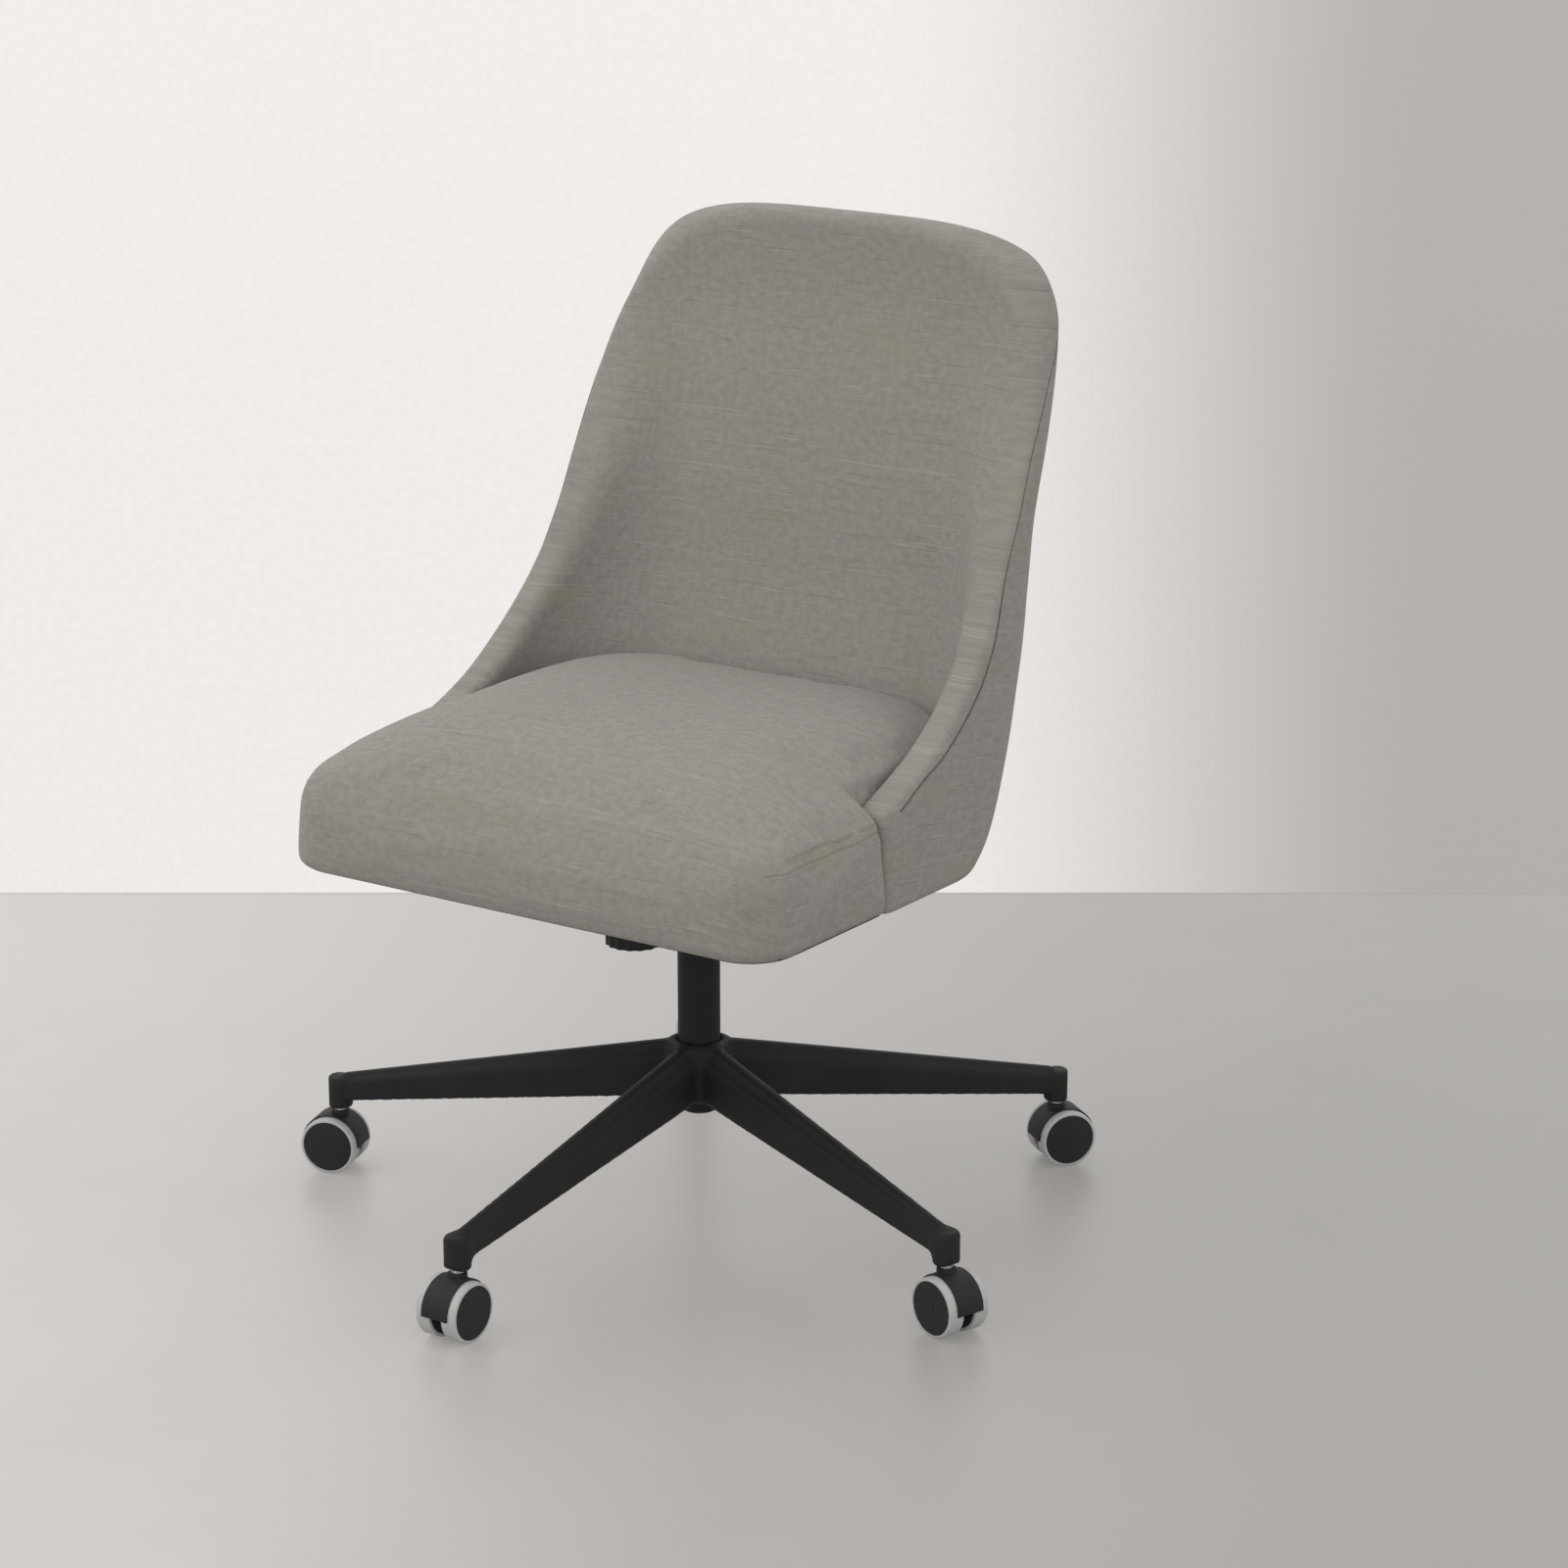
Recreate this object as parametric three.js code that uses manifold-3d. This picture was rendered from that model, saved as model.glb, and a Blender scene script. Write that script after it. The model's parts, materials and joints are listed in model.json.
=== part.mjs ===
// Swivel office chair with an upholstered bucket shell, a tilting gas-lift column and a five-legged base.
// Millimetres, +Z up. The sitter faces -Y. Heights build up from the floor through the castors.
import * as THREE from "three";
import { mergeVertices } from "three/addons/utils/BufferGeometryUtils.js";
import Module from "manifold-3d";

const wasm = await Module();
wasm.setup();

// ---- Clearances ----
const fitGap = 0.3; // between pieces that touch
const runGap = 0.4; // between a wheel and its hood

// ---- Castors ----
const castorCount = 5;
const wheelRadius = 25;
const treadThickness = 2.7;
const treadRounding = 2.2; // set back of the tread's outer edge
const castorWidth = 40; // over both wheels
const castorWebWidth = 11;
const castorTrail = 5; // axle outside the stem, away from the column
const axleRadius = 3;
const wheelFaceThickness = 2.4;
const hoodWall = 1;
const hoodWidth = 26;
const hoodLap = 1; // how far the hood reaches below the axle
const wheelSides = 20; // sides of the wheels' and hoods' round outlines
const neckRadius = 8;
const neckHeight = 2.5;
const stemRadius = 4;
const stemCollarRadius = castorWebWidth / 2 + 0.1; // narrow enough to stay between the two wheels
const stemCollarHeight = 2.6;
const stemGrip = 24; // stem length inside the leg's post

// ---- Star base ----
const stemCircle = 330; // column axis to each castor stem
const postRadius = 11.25;
const postHeight = 30;
const legEndDepth = 23.5;
const legHubDepth = 49;
const legRise = 66; // ridge at the hub above the ridge at the post
const legEndHalfWidth = 8.5;
const legHubHalfWidth = 14.5;
const hubWall = 6.5;

// ---- Gas lift column ----
const columnRadius = 18;
const stubStep = 3.5; // how much slimmer the tube's foot is
const bushWall = 1.9;
const stubLength = 14;
const tubeWall = 2.5;
const tubeLength = 172;
const tubeFloor = 3;
const clipRecess = 4;
const bearingHeight = 4;
const rodRadius = 4.7;
const cylinderWall = 1.6;
const cylinderCap = 12;
const liftStroke = 85;
const valveRadius = 4;
const valveStandOut = 6.7;

// ---- Tilt mechanism ----
const steel = 3;
const housingHalfWidth = 36;
const housingFront = -122;
const housingRear = 36;
const flangeDepth = 20;
const socketDepth = 33;
const socketWall = 3.7;
const pinClearance = 2; // between the tilt pin and the cylinder's socket
const pivotDrop = 9; // pivot below the housing's web
const pinRadius = 5;
const plateHalfWidth = 85;
const plateFront = -140;
const plateRear = 40;
const plateLift = 29; // top of the seat plate above the web
const knobY = -90;
const knobRadius = 24.5;
const knobHeight = 12;
const knobRibs = 16;
const knobFloor = 3;
const boltRadius = 4;
const springRadius = 9;
const springWire = 1.2;
const springTurns = 5;
const leverRodRadius = 3.5;
const leverPivotX = -24;
const leverBushHalf = 8;
const leverBushWall = 6; // from the lever's centre line to the outside
const trunnionRadius = 2.5;
const leverDrop = 24; // the grip hangs this far below the inner rod
const gripLength = 56;
const gripWidth = 24;
const gripThickness = 9;
const gripToBend = 19; // straight rod between the grip and the bend
const gripInset = 35; // grip end inside the seat's side

// ---- Seat and shell ----
const seatHalfWidth = 245;
const seatFront = -254;
const slitY = -84; // where the front block stops and the shell's wings start
const frontCorner = 46;
const seatSideHeight = 75;
const crownHeight = 57;
const crownY = 20;
const crownFall = 246; // behind the crown, how far back it is down to the seat's edge
const boardThickness = 12;
const coverSkirt = 8; // padding outside the board's edge
const dustWindow = 40; // bare board round the seat plate
const edgePadding = 9; // padding over the frame's front edge
const shellHeight = 501;
const wingThickness = 30;
const backThickness = 48;
const rearCorner = 80;
const cornerTightening = 18; // how much smaller the shell's corners are near its top
const coverThickness = 4;
const frameThickness = 10;
const topNarrowing = 17; // the shell is this much narrower at each side near its top
const topPower = 2.8; // squareness of the rounded top at the shell's front edge, seen from the front
const topRearPower = 4.3; // and at its rear edge
const topSquaring = [190, 240]; // where the one turns into the other
const topCentreShare = 0.5425; // where the rounded top starts, as a share of the shell's height
const cavityRounding = 4; // the hollow's corners beyond the outer ones

// ---- Radii that follow ----
const stubRadius = columnRadius - stubStep;
const hubRadius = columnRadius + hubWall;
const cylinderRadius = columnRadius - tubeWall - bushWall - 2 * fitGap;
const socketRadius = cylinderRadius + fitGap + socketWall;
const pivotY = -(socketRadius + pinRadius + pinClearance);

// ---- Heights that follow ----
const hoodRadius = wheelRadius + runGap + hoodWall;
const treadOutside = castorWidth / 2 - 0.2;
const neckTop = wheelRadius + hoodRadius + neckHeight;
const postBottom = neckTop + fitGap + stemCollarHeight + fitGap;
const postTop = postBottom + postHeight;
const hubTop = postTop + legRise;
const hubBottom = hubTop - legHubDepth;
const taperTop = hubTop - fitGap;
const columnBottom = hubBottom - stubLength;
const tubeTop = columnBottom + tubeLength;
const tubeFloorTop = columnBottom + clipRecess + tubeFloor;
const socketBottom = tubeTop + 2;
const webBottom = socketBottom + socketDepth;
const webTop = webBottom + steel;
const pivotZ = webBottom - pivotDrop;
const cylinderTop = webBottom + 1;
const valveTop = cylinderTop + valveStandOut;
const rodLine = valveTop + fitGap + leverRodRadius;
const plateTop = webTop + plateLift;
const plateBottom = plateTop - steel;
const seatBottom = plateTop - 1;
const boardBottom = plateTop + fitGap;
const boardTop = boardBottom + boardThickness;
const seatEdgeTop = seatBottom + seatSideHeight;
const shellTop = seatBottom + shellHeight;
const cavityHalfWidth = seatHalfWidth - wingThickness;
const knobBottom = socketBottom - 1;

// ---- Solids ----
function solidOf(geometry) {
  const bare = geometry.clone();
  bare.deleteAttribute("normal");
  bare.deleteAttribute("uv");
  const merged = mergeVertices(bare, 1e-4);
  const vertProperties = merged.attributes.position.array;
  const triVerts = new Uint32Array(merged.index.array);
  return new wasm.Manifold(new wasm.Mesh({ numProp: 3, vertProperties, triVerts }));
}

function geometryOf(made) {
  const { vertProperties, triVerts } = made.getMesh();
  const geometry = new THREE.BufferGeometry();
  geometry.setAttribute("position", new THREE.BufferAttribute(vertProperties, 3));
  geometry.setIndex(new THREE.BufferAttribute(triVerts, 1));
  geometry.computeVertexNormals();
  return geometry;
}

function join(first, ...others) {
  return others.reduce((whole, next) => whole.add(next), first);
}

function cut(first, ...others) {
  return others.reduce((whole, next) => whole.subtract(next), first);
}

// ---- Shapes, all with +Z up ----
function block(x, y, z) {
  const box = new THREE.BoxGeometry(x[1] - x[0], y[1] - y[0], z[1] - z[0]);
  return box.translate((x[0] + x[1]) / 2, (y[0] + y[1]) / 2, (z[0] + z[1]) / 2);
}

// outline: [radius, height] pairs that run anticlockwise, from axis to axis or closed on themselves
function turned(outline, sides) {
  const points = outline.map(([radius, height]) => new THREE.Vector2(radius, height));
  return new THREE.LatheGeometry(points, sides).rotateX(Math.PI / 2);
}

function rod(radius, bottom, top, sides = 16) {
  return turned([[0, bottom], [radius, bottom], [radius, top], [0, top]], sides);
}

function ring(inner, outer, bottom, top, sides = 24) {
  return turned([[inner, bottom], [outer, bottom], [outer, top], [inner, top], [inner, bottom]], sides);
}

// A rod along X, centred on the given Y and Z
function crossRod(radius, x, y, z, sides = 14) {
  return rod(radius, x[0], x[1], sides).rotateY(Math.PI / 2).translate(0, y, z);
}

// A shape drawn in (Y, Z), standing between two X planes
function sidewaysPrism(shape, x) {
  const prism = new THREE.ExtrudeGeometry(shape, { depth: x[1] - x[0], bevelEnabled: false });
  const basis = new THREE.Matrix4().makeBasis(
    new THREE.Vector3(0, 1, 0),
    new THREE.Vector3(0, 0, 1),
    new THREE.Vector3(1, 0, 0),
  );
  return prism.applyMatrix4(basis).translate(x[0], 0, 0);
}

// A shape drawn in (X, Z), standing between two Y planes
function frontPrism(shape, y) {
  const prism = new THREE.ExtrudeGeometry(shape, { depth: y[1] - y[0], bevelEnabled: false });
  return prism.rotateX(Math.PI / 2).translate(0, y[1], 0);
}

// A shape drawn in (X, Y), standing between two heights
function uprightPrism(shape, z) {
  return new THREE.ExtrudeGeometry(shape, { depth: z[1] - z[0], bevelEnabled: false }).translate(0, 0, z[0]);
}

const capShift = 40; // the middle of a loft's end faces, behind the outline's open front

// A stack of closed outlines: ringAt(rise) gives the outline's points and its height
function loft(sides, rows, ringAt) {
  const geometry = new THREE.CylinderGeometry(1, 1, 1, sides, rows);
  const position = geometry.attributes.position;
  const rings = [];
  for (let row = 0; row <= rows; row += 1) rings.push(ringAt(row / rows));
  for (let i = 0; i < position.count; i += 1) {
    const { points, height } = rings[Math.round((position.getY(i) + 0.5) * rows)];
    const across = position.getX(i);
    const along = -position.getZ(i);
    const turn = (Math.atan2(along, across) / (2 * Math.PI) + 1) % 1;
    const rim = points[Math.round(turn * sides) % sides];
    const middle = (points[0].y + points[Math.round(sides / 2)].y) / 2 + capShift;
    const onRim = Math.hypot(across, along) > 0.5;
    position.setXYZ(i, onRim ? rim.x : 0, onRim ? rim.y : middle, height);
  }
  return geometry;
}

// ---- Object ----
const chair = new THREE.Group();

const finishes = {
  blackMetal: { color: 0x1f1f20, roughness: 0.45, metalness: 0.35 },
  blackPlastic: { color: 0x242424, roughness: 0.5, metalness: 0 },
  greyTread: { color: 0xb8b8b6, roughness: 0.6, metalness: 0 },
  brightSteel: { color: 0xa8abad, roughness: 0.3, metalness: 1 },
  darkSteel: { color: 0x2a2b2c, roughness: 0.4, metalness: 0.8 },
  whitePlastic: { color: 0xd9d8d2, roughness: 0.5, metalness: 0 },
  plywood: { color: 0xb88f5e, roughness: 0.7, metalness: 0 },
  fabric: { color: 0x8f8c86, roughness: 0.95, metalness: 0 },
  dustCloth: { color: 0x202020, roughness: 1, metalness: 0 },
};

function piece(name, shape, finish, parent = chair) {
  const geometry = shape.isBufferGeometry ? shape : geometryOf(shape);
  const mesh = new THREE.Mesh(geometry, new THREE.MeshStandardMaterial(finishes[finish]));
  mesh.name = name;
  parent.add(mesh);
}

// ---- Star base: hub, five tapered legs and five posts in one casting ----
// Half of a leg's section, from the underside to the ridge: width and height as shares
const legSection = [[0.84, 0], [1, 0.1], [1, 0.7], [0.9, 0.8], [0.56, 0.86], [0.44, 0.93], [0.26, 1]];

function legSolid() {
  const section = new THREE.Shape();
  legSection.forEach(([width, height]) => section.lineTo(width, height));
  legSection.toReversed().forEach(([width, height]) => section.lineTo(-width, height));
  section.curves.shift();
  const geometry = new THREE.ExtrudeGeometry(section, { depth: 1, steps: 3, bevelEnabled: false });
  const position = geometry.attributes.position;
  const from = stubRadius * 0.6;
  for (let i = 0; i < position.count; i += 1) {
    const along = position.getZ(i);
    const lerp = THREE.MathUtils.lerp;
    const top = lerp(hubTop, postTop, along);
    const bottom = lerp(hubBottom, postTop - legEndDepth, along);
    const halfWidth = lerp(legHubHalfWidth, legEndHalfWidth, along);
    const share = position.getY(i);
    position.setXYZ(i, lerp(from, stemCircle, along), position.getX(i) * halfWidth, lerp(bottom, top, share));
  }
  return solidOf(geometry);
}

function starBase() {
  const hub = turned([
    [0, hubBottom], [hubRadius - 4, hubBottom], [hubRadius - 1, hubBottom + 4], [hubRadius, hubTop - 6],
    [hubRadius - 3, hubTop], [0, hubTop],
  ], 20);
  const post = turned([
    [0, postBottom], [postRadius - 1.6, postBottom], [postRadius, postBottom + 1.8],
    [postRadius, postTop - 9], [postRadius - 3, postTop - 3], [postRadius - 8, postTop], [0, postTop],
  ], 16);
  const socket = rod(stemRadius + fitGap, postBottom - 1, postBottom + stemGrip + fitGap, 12);
  const leg = legSolid();
  let whole = solidOf(hub);
  for (let i = 0; i < castorCount; i += 1) {
    const turn = legAngle(i);
    const placed = cut(join(leg, solidOf(post).translate([stemCircle, 0, 0])),
      solidOf(socket).translate([stemCircle, 0, 0]));
    whole = join(whole, placed.rotate([0, 0, turn]));
  }
  const bore = turned([
    [0, hubBottom - 5], [stubRadius + fitGap, hubBottom - 5], [stubRadius + fitGap, hubBottom],
    [columnRadius + fitGap, taperTop], [columnRadius + fitGap, hubTop + 5], [0, hubTop + 5],
  ], 24);
  return cut(whole, solidOf(bore));
}

function legAngle(index) {
  return -90 + (index * 360) / castorCount;
}

piece("star_base", starBase(), "blackMetal");

// ---- Castors: stem, hood, axle, two wheels and two treads each ----
function castorHood() {
  const axleAt = [castorTrail, 0, wheelRadius];
  const along = (shape) => solidOf(shape).rotate([90, 0, 0]).translate(axleAt);
  const outer = along(rod(hoodRadius, -hoodWidth / 2, hoodWidth / 2, wheelSides));
  const cavityRadius = hoodRadius - hoodWall;
  const sides = [-1, 1].map((side) => {
    const near = castorWebWidth / 2;
    const far = hoodWidth / 2 + 1;
    return along(rod(cavityRadius, side > 0 ? near : -far, side > 0 ? far : -near, wheelSides));
  });
  const below = solidOf(block([-60, 60], [-30, 30], [-20, wheelRadius - hoodLap]));
  const axleBoss = along(rod(axleRadius + 3, -castorWebWidth / 2, castorWebWidth / 2));
  const neck = solidOf(rod(neckRadius, wheelRadius + hoodRadius - 6, neckTop));
  const webOnly = solidOf(block([-60, 60], [-castorWebWidth / 2, castorWebWidth / 2], [0, neckTop]));
  const shell = cut(outer, ...sides, below);
  const lowNeck = solidOf(rod(neckRadius, wheelRadius, neckTop - neckHeight)).intersect(webOnly);
  const axleHole = along(rod(axleRadius + fitGap, -hoodWidth, hoodWidth, 12));
  const stemHole = solidOf(rod(stemRadius + fitGap, neckTop - 18, neckTop + 5, 12));
  const cleared = cut(neck, ...sides);
  return cut(join(shell, axleBoss, cleared, lowNeck), axleHole, stemHole);
}

function wheelCore() {
  const inner = castorWebWidth / 2 + runGap;
  const outer = castorWidth / 2;
  const seat = wheelRadius - treadThickness - fitGap;
  const ceiling = outer - wheelFaceThickness;
  const bore = axleRadius + fitGap;
  return turned([
    [0, ceiling], [bore, ceiling], [bore, inner], [seat, inner], [seat, outer - 0.4], [seat - 1, outer],
    [0, outer],
  ], wheelSides);
}

function wheelTread() {
  const inner = castorWebWidth / 2 + runGap;
  const outer = treadOutside;
  const seat = wheelRadius - treadThickness;
  return turned([
    [seat, inner], [wheelRadius, inner + 0.6], [wheelRadius, outer - treadRounding], [seat + 0.8, outer],
    [seat, outer], [seat, inner],
  ], wheelSides);
}

const hood = castorHood();
for (let i = 0; i < castorCount; i += 1) {
  const castor = new THREE.Group();
  const turn = THREE.MathUtils.degToRad(legAngle(i));
  castor.rotation.z = turn;
  castor.position.set(stemCircle * Math.cos(turn), stemCircle * Math.sin(turn), 0);
  chair.add(castor);
  const number = i + 1;
  const stem = turned([
    [0, neckTop - 17], [stemRadius, neckTop - 17], [stemRadius, neckTop + fitGap],
    [stemCollarRadius, neckTop + fitGap], [stemCollarRadius, postBottom - fitGap],
    [stemRadius, postBottom - fitGap],
    [stemRadius, postBottom + stemGrip - 1], [stemRadius - 1, postBottom + stemGrip],
    [0, postBottom + stemGrip],
  ], 12);
  piece(`castor_stem_${number}`, stem, "brightSteel", castor);
  piece(`castor_hood_${number}`, hood, "blackPlastic", castor);
  const wheels = new THREE.Group();
  wheels.position.set(castorTrail, 0, wheelRadius);
  castor.add(wheels);
  const axleHalf = castorWidth / 2 - wheelFaceThickness - fitGap;
  const axle = rod(axleRadius, -axleHalf, axleHalf, 12).rotateX(Math.PI / 2);
  piece(`castor_axle_${number}`, axle, "brightSteel", wheels);
  for (const [side, quarter] of [["a", -1], ["b", 1]]) {
    const turn = (quarter * Math.PI) / 2;
    piece(`castor_wheel_${number}${side}`, wheelCore().rotateX(turn), "blackPlastic", wheels);
    piece(`castor_tread_${number}${side}`, wheelTread().rotateX(turn), "greyTread", wheels);
  }
}

// ---- Gas lift: tube, bush, bearing, clip, piston rod, cylinder and valve button ----
const tubeInner = columnRadius - tubeWall;
const stubInner = stubRadius - tubeWall;
const rodHole = rodRadius + fitGap + 0.5;

piece("column_tube", turned([
  [stubInner, columnBottom], [stubRadius, columnBottom], [stubRadius, hubBottom], [columnRadius, taperTop],
  [columnRadius, tubeTop - 1], [columnRadius - 1, tubeTop], [tubeInner, tubeTop], [tubeInner, taperTop],
  [stubInner, hubBottom], [stubInner, tubeFloorTop], [rodHole, tubeFloorTop],
  [rodHole, tubeFloorTop - tubeFloor], [stubInner, tubeFloorTop - tubeFloor], [stubInner, columnBottom],
], 24), "blackMetal");

const bushInner = cylinderRadius + fitGap;
piece("guide_bush", turned([
  [bushInner, taperTop + 2], [tubeInner - fitGap, taperTop + 2], [tubeInner - fitGap, tubeTop + fitGap],
  [columnRadius - 0.5, tubeTop + fitGap], [columnRadius - 0.5, tubeTop + 1.3], [bushInner, tubeTop + 1.3],
  [bushInner, taperTop + 2],
], 24), "blackPlastic");

const bearingTop = tubeFloorTop + fitGap + bearingHeight;
piece("thrust_bearing", ring(rodHole, stubInner - 0.5, tubeFloorTop + fitGap, bearingTop, 24), "brightSteel");
piece("retaining_clip", ring(rodRadius + fitGap, stubInner - 3, columnBottom + 1,
  columnBottom + clipRecess - fitGap, 20), "brightSteel");

const cylinderBottom = THREE.MathUtils.lerp(hubBottom, taperTop, 0.5);
const pistonBottom = cylinderBottom + cylinderWall + liftStroke + 2;
piece("piston_rod", turned([
  [0, columnBottom + 0.5], [rodRadius, columnBottom + 0.5], [rodRadius, bearingTop + fitGap],
  [stubInner - 2, bearingTop + fitGap], [stubInner - 2, bearingTop + 3], [rodRadius, bearingTop + 3],
  [rodRadius, pistonBottom], [cylinderRadius - cylinderWall - fitGap, pistonBottom],
  [cylinderRadius - cylinderWall - fitGap, pistonBottom + 8], [0, pistonBottom + 8],
], 16), "brightSteel");

const chamberTop = cylinderTop - cylinderCap;
piece("gas_cylinder", turned([
  [rodRadius + fitGap, cylinderBottom], [cylinderRadius, cylinderBottom], [cylinderRadius, cylinderTop],
  [valveRadius + fitGap, cylinderTop], [valveRadius + fitGap, chamberTop],
  [cylinderRadius - cylinderWall, chamberTop], [cylinderRadius - cylinderWall, cylinderBottom + cylinderWall],
  [rodRadius + fitGap, cylinderBottom + cylinderWall], [rodRadius + fitGap, cylinderBottom],
], 24), "darkSteel");

piece("valve_button", turned([
  [0, chamberTop - 2], [valveRadius, chamberTop - 2], [valveRadius, valveTop - 1],
  [valveRadius - 1, valveTop], [0, valveTop],
], 20), "brightSteel");

// ---- Tilt mechanism housing: an upturned channel with a socket for the cylinder ----
function housing() {
  const half = housingHalfWidth;
  const flangeBottom = webTop - flangeDepth - steel / 2;
  const channel = solidOf(block([-half, half], [housingFront, housingRear], [flangeBottom, webTop]));
  const inside = solidOf(block([steel - half, half - steel],
    [housingFront + steel, housingRear - steel], [flangeBottom - 1, webBottom]));
  const lugs = [-1, 1].map((side) => {
    const near = leverBushHalf + fitGap;
    const y = side > 0 ? [near, near + steel] : [-near - steel, -near];
    return solidOf(block([leverPivotX - leverBushWall, leverPivotX + leverBushWall], y,
      [webBottom, rodLine + leverBushWall]));
  });
  const socket = solidOf(rod(socketRadius, socketBottom, webTop, 24));
  const cylinderHole = solidOf(rod(cylinderRadius + fitGap, socketBottom - 1, webTop + 1, 24));
  const boltSlot = solidOf(block([-boltRadius - 1, boltRadius + 1], [knobY - 6, knobY + 10],
    [webBottom - 1, webTop + 1]));
  const pinHole = solidOf(crossRod(pinRadius + fitGap, [-half - 1, half + 1], pivotY, pivotZ));
  const trunnions = solidOf(rod(trunnionRadius + fitGap, -20, 20, 16)).rotate([90, 0, 0])
    .translate([leverPivotX, 0, rodLine]);
  const body = join(cut(channel, inside), socket, ...lugs);
  return cut(body, cylinderHole, boltSlot, pinHole, trunnions);
}

piece("mechanism_housing", housing(), "darkSteel");

const pinHalf = housingHalfWidth + 10;
piece("tilt_pin", crossRod(pinRadius, [-pinHalf, pinHalf], pivotY, pivotZ, 24), "brightSteel");

// ---- Height lever: a rocking bush and a cranked rod that slides through it ----
const leverGrip = -(seatHalfWidth - gripInset);
const leverBendEnd = leverGrip + gripLength + gripToBend;

function leverBush() {
  const body = solidOf(block([leverPivotX - leverBushWall, leverPivotX + leverBushWall],
    [-leverBushHalf, leverBushHalf], [webTop + 1.2, rodLine + leverBushWall]));
  const trunnion = solidOf(rod(trunnionRadius, -leverBushHalf - steel, leverBushHalf + steel, 16))
    .rotate([90, 0, 0]).translate([leverPivotX, 0, rodLine]);
  const hole = solidOf(crossRod(leverRodRadius + fitGap, [leverPivotX - 9, leverPivotX + 9], 0, rodLine, 12));
  return cut(join(body, trunnion), hole);
}

function leverRod() {
  const low = rodLine - leverDrop;
  const path = new THREE.CurvePath();
  const at = (x, z) => new THREE.Vector3(x, 0, z);
  const bendStart = leverPivotX - 24;
  path.add(new THREE.LineCurve3(at(16, rodLine), at(bendStart, rodLine)));
  path.add(new THREE.CubicBezierCurve3(at(bendStart, rodLine), at(bendStart - 26, rodLine),
    at(leverBendEnd + 25, low), at(leverBendEnd, low)));
  path.add(new THREE.LineCurve3(at(leverBendEnd, low), at(leverGrip + 20, low)));
  const section = new THREE.Shape();
  section.absarc(0, 0, leverRodRadius, 0, 2 * Math.PI);
  return new THREE.ExtrudeGeometry(section, {
    steps: 16, curveSegments: 4, bevelEnabled: false, extrudePath: path,
  });
}

function leverGripSolid() {
  const low = rodLine - leverDrop;
  const outline = new THREE.Shape();
  const half = gripWidth / 2;
  const inner = leverGrip + gripLength;
  outline.moveTo(inner, -half * 0.5);
  outline.lineTo(inner, half * 0.5);
  outline.lineTo(inner - 12, half);
  outline.lineTo(leverGrip + half, half);
  outline.absarc(leverGrip + half, 0, half, Math.PI / 2, (3 * Math.PI) / 2, false);
  outline.lineTo(inner - 12, -half);
  const paddle = solidOf(uprightPrism(outline, [low - gripThickness / 2, low + gripThickness / 2]));
  const hole = solidOf(crossRod(leverRodRadius + fitGap, [leverGrip + 20 - fitGap, inner + 1], 0, low, 20));
  return cut(paddle, hole);
}

piece("lever_bush", leverBush(), "blackPlastic");
piece("lever_rod", leverRod(), "darkSteel");
piece("lever_grip", leverGripSolid(), "blackPlastic");

// ---- Seat plate, tension bolt, knob, washer and spring ----
function seatPlate() {
  const sheet = solidOf(block([-plateHalfWidth, plateHalfWidth], [plateFront, plateRear],
    [plateBottom, plateTop]));
  const window = solidOf(block([-54, 30], [-14, 30], [plateBottom - 1, plateTop + 1]));
  const ears = [-1, 1].map((side) => {
    const near = housingHalfWidth + 1;
    const x = side > 0 ? [near, near + steel] : [-near - steel, -near];
    return solidOf(block(x, [pivotY - 16, pivotY + 16], [pivotZ - 10, plateTop - 1]));
  });
  const pinHole = solidOf(crossRod(pinRadius + fitGap, [-60, 60], pivotY, pivotZ));
  return cut(join(cut(sheet, window), ...ears), pinHole);
}

piece("seat_plate", seatPlate(), "darkSteel");

piece("tension_bolt", turned([
  [0, knobBottom], [boltRadius, knobBottom], [boltRadius, plateBottom - fitGap - 4],
  [9, plateBottom - fitGap - 4], [9, plateBottom - fitGap], [0, plateBottom - fitGap],
], 20).translate(0, knobY, 0), "brightSteel");

const washerBottom = knobBottom + knobFloor + fitGap;
const washerTop = washerBottom + 2;

function tensionKnob() {
  const outline = new THREE.Shape();
  const steps = knobRibs * 4;
  for (let i = 0; i < steps; i += 1) {
    const angle = (2 * Math.PI * i) / steps;
    const radius = knobRadius - (i % 4 < 2 ? 0 : 1.2);
    outline.lineTo(radius * Math.cos(angle), radius * Math.sin(angle));
  }
  outline.curves.shift();
  const body = solidOf(uprightPrism(outline, [knobBottom, knobBottom + knobHeight]));
  const cup = solidOf(rod(springRadius + springWire + 2.5, knobBottom + knobFloor, knobBottom + 40, 20));
  const hole = solidOf(rod(boltRadius + fitGap, knobBottom - 1, knobBottom + 9, 12));
  return cut(body, cup, hole).translate([0, knobY, 0]);
}

piece("tension_knob", tensionKnob(), "blackPlastic");
piece("tension_washer", ring(boltRadius + fitGap, springRadius + springWire + 1.5, washerBottom, washerTop)
  .translate(0, knobY, 0), "brightSteel");

class Helix extends THREE.Curve {
  constructor(radius, bottom, top, turns) {
    super();
    Object.assign(this, { radius, bottom, top, turns });
  }

  getPoint(share, target = new THREE.Vector3()) {
    const angle = 2 * Math.PI * this.turns * share;
    const height = THREE.MathUtils.lerp(this.bottom, this.top, share);
    return target.set(this.radius * Math.cos(angle), this.radius * Math.sin(angle), height);
  }
}

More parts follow.
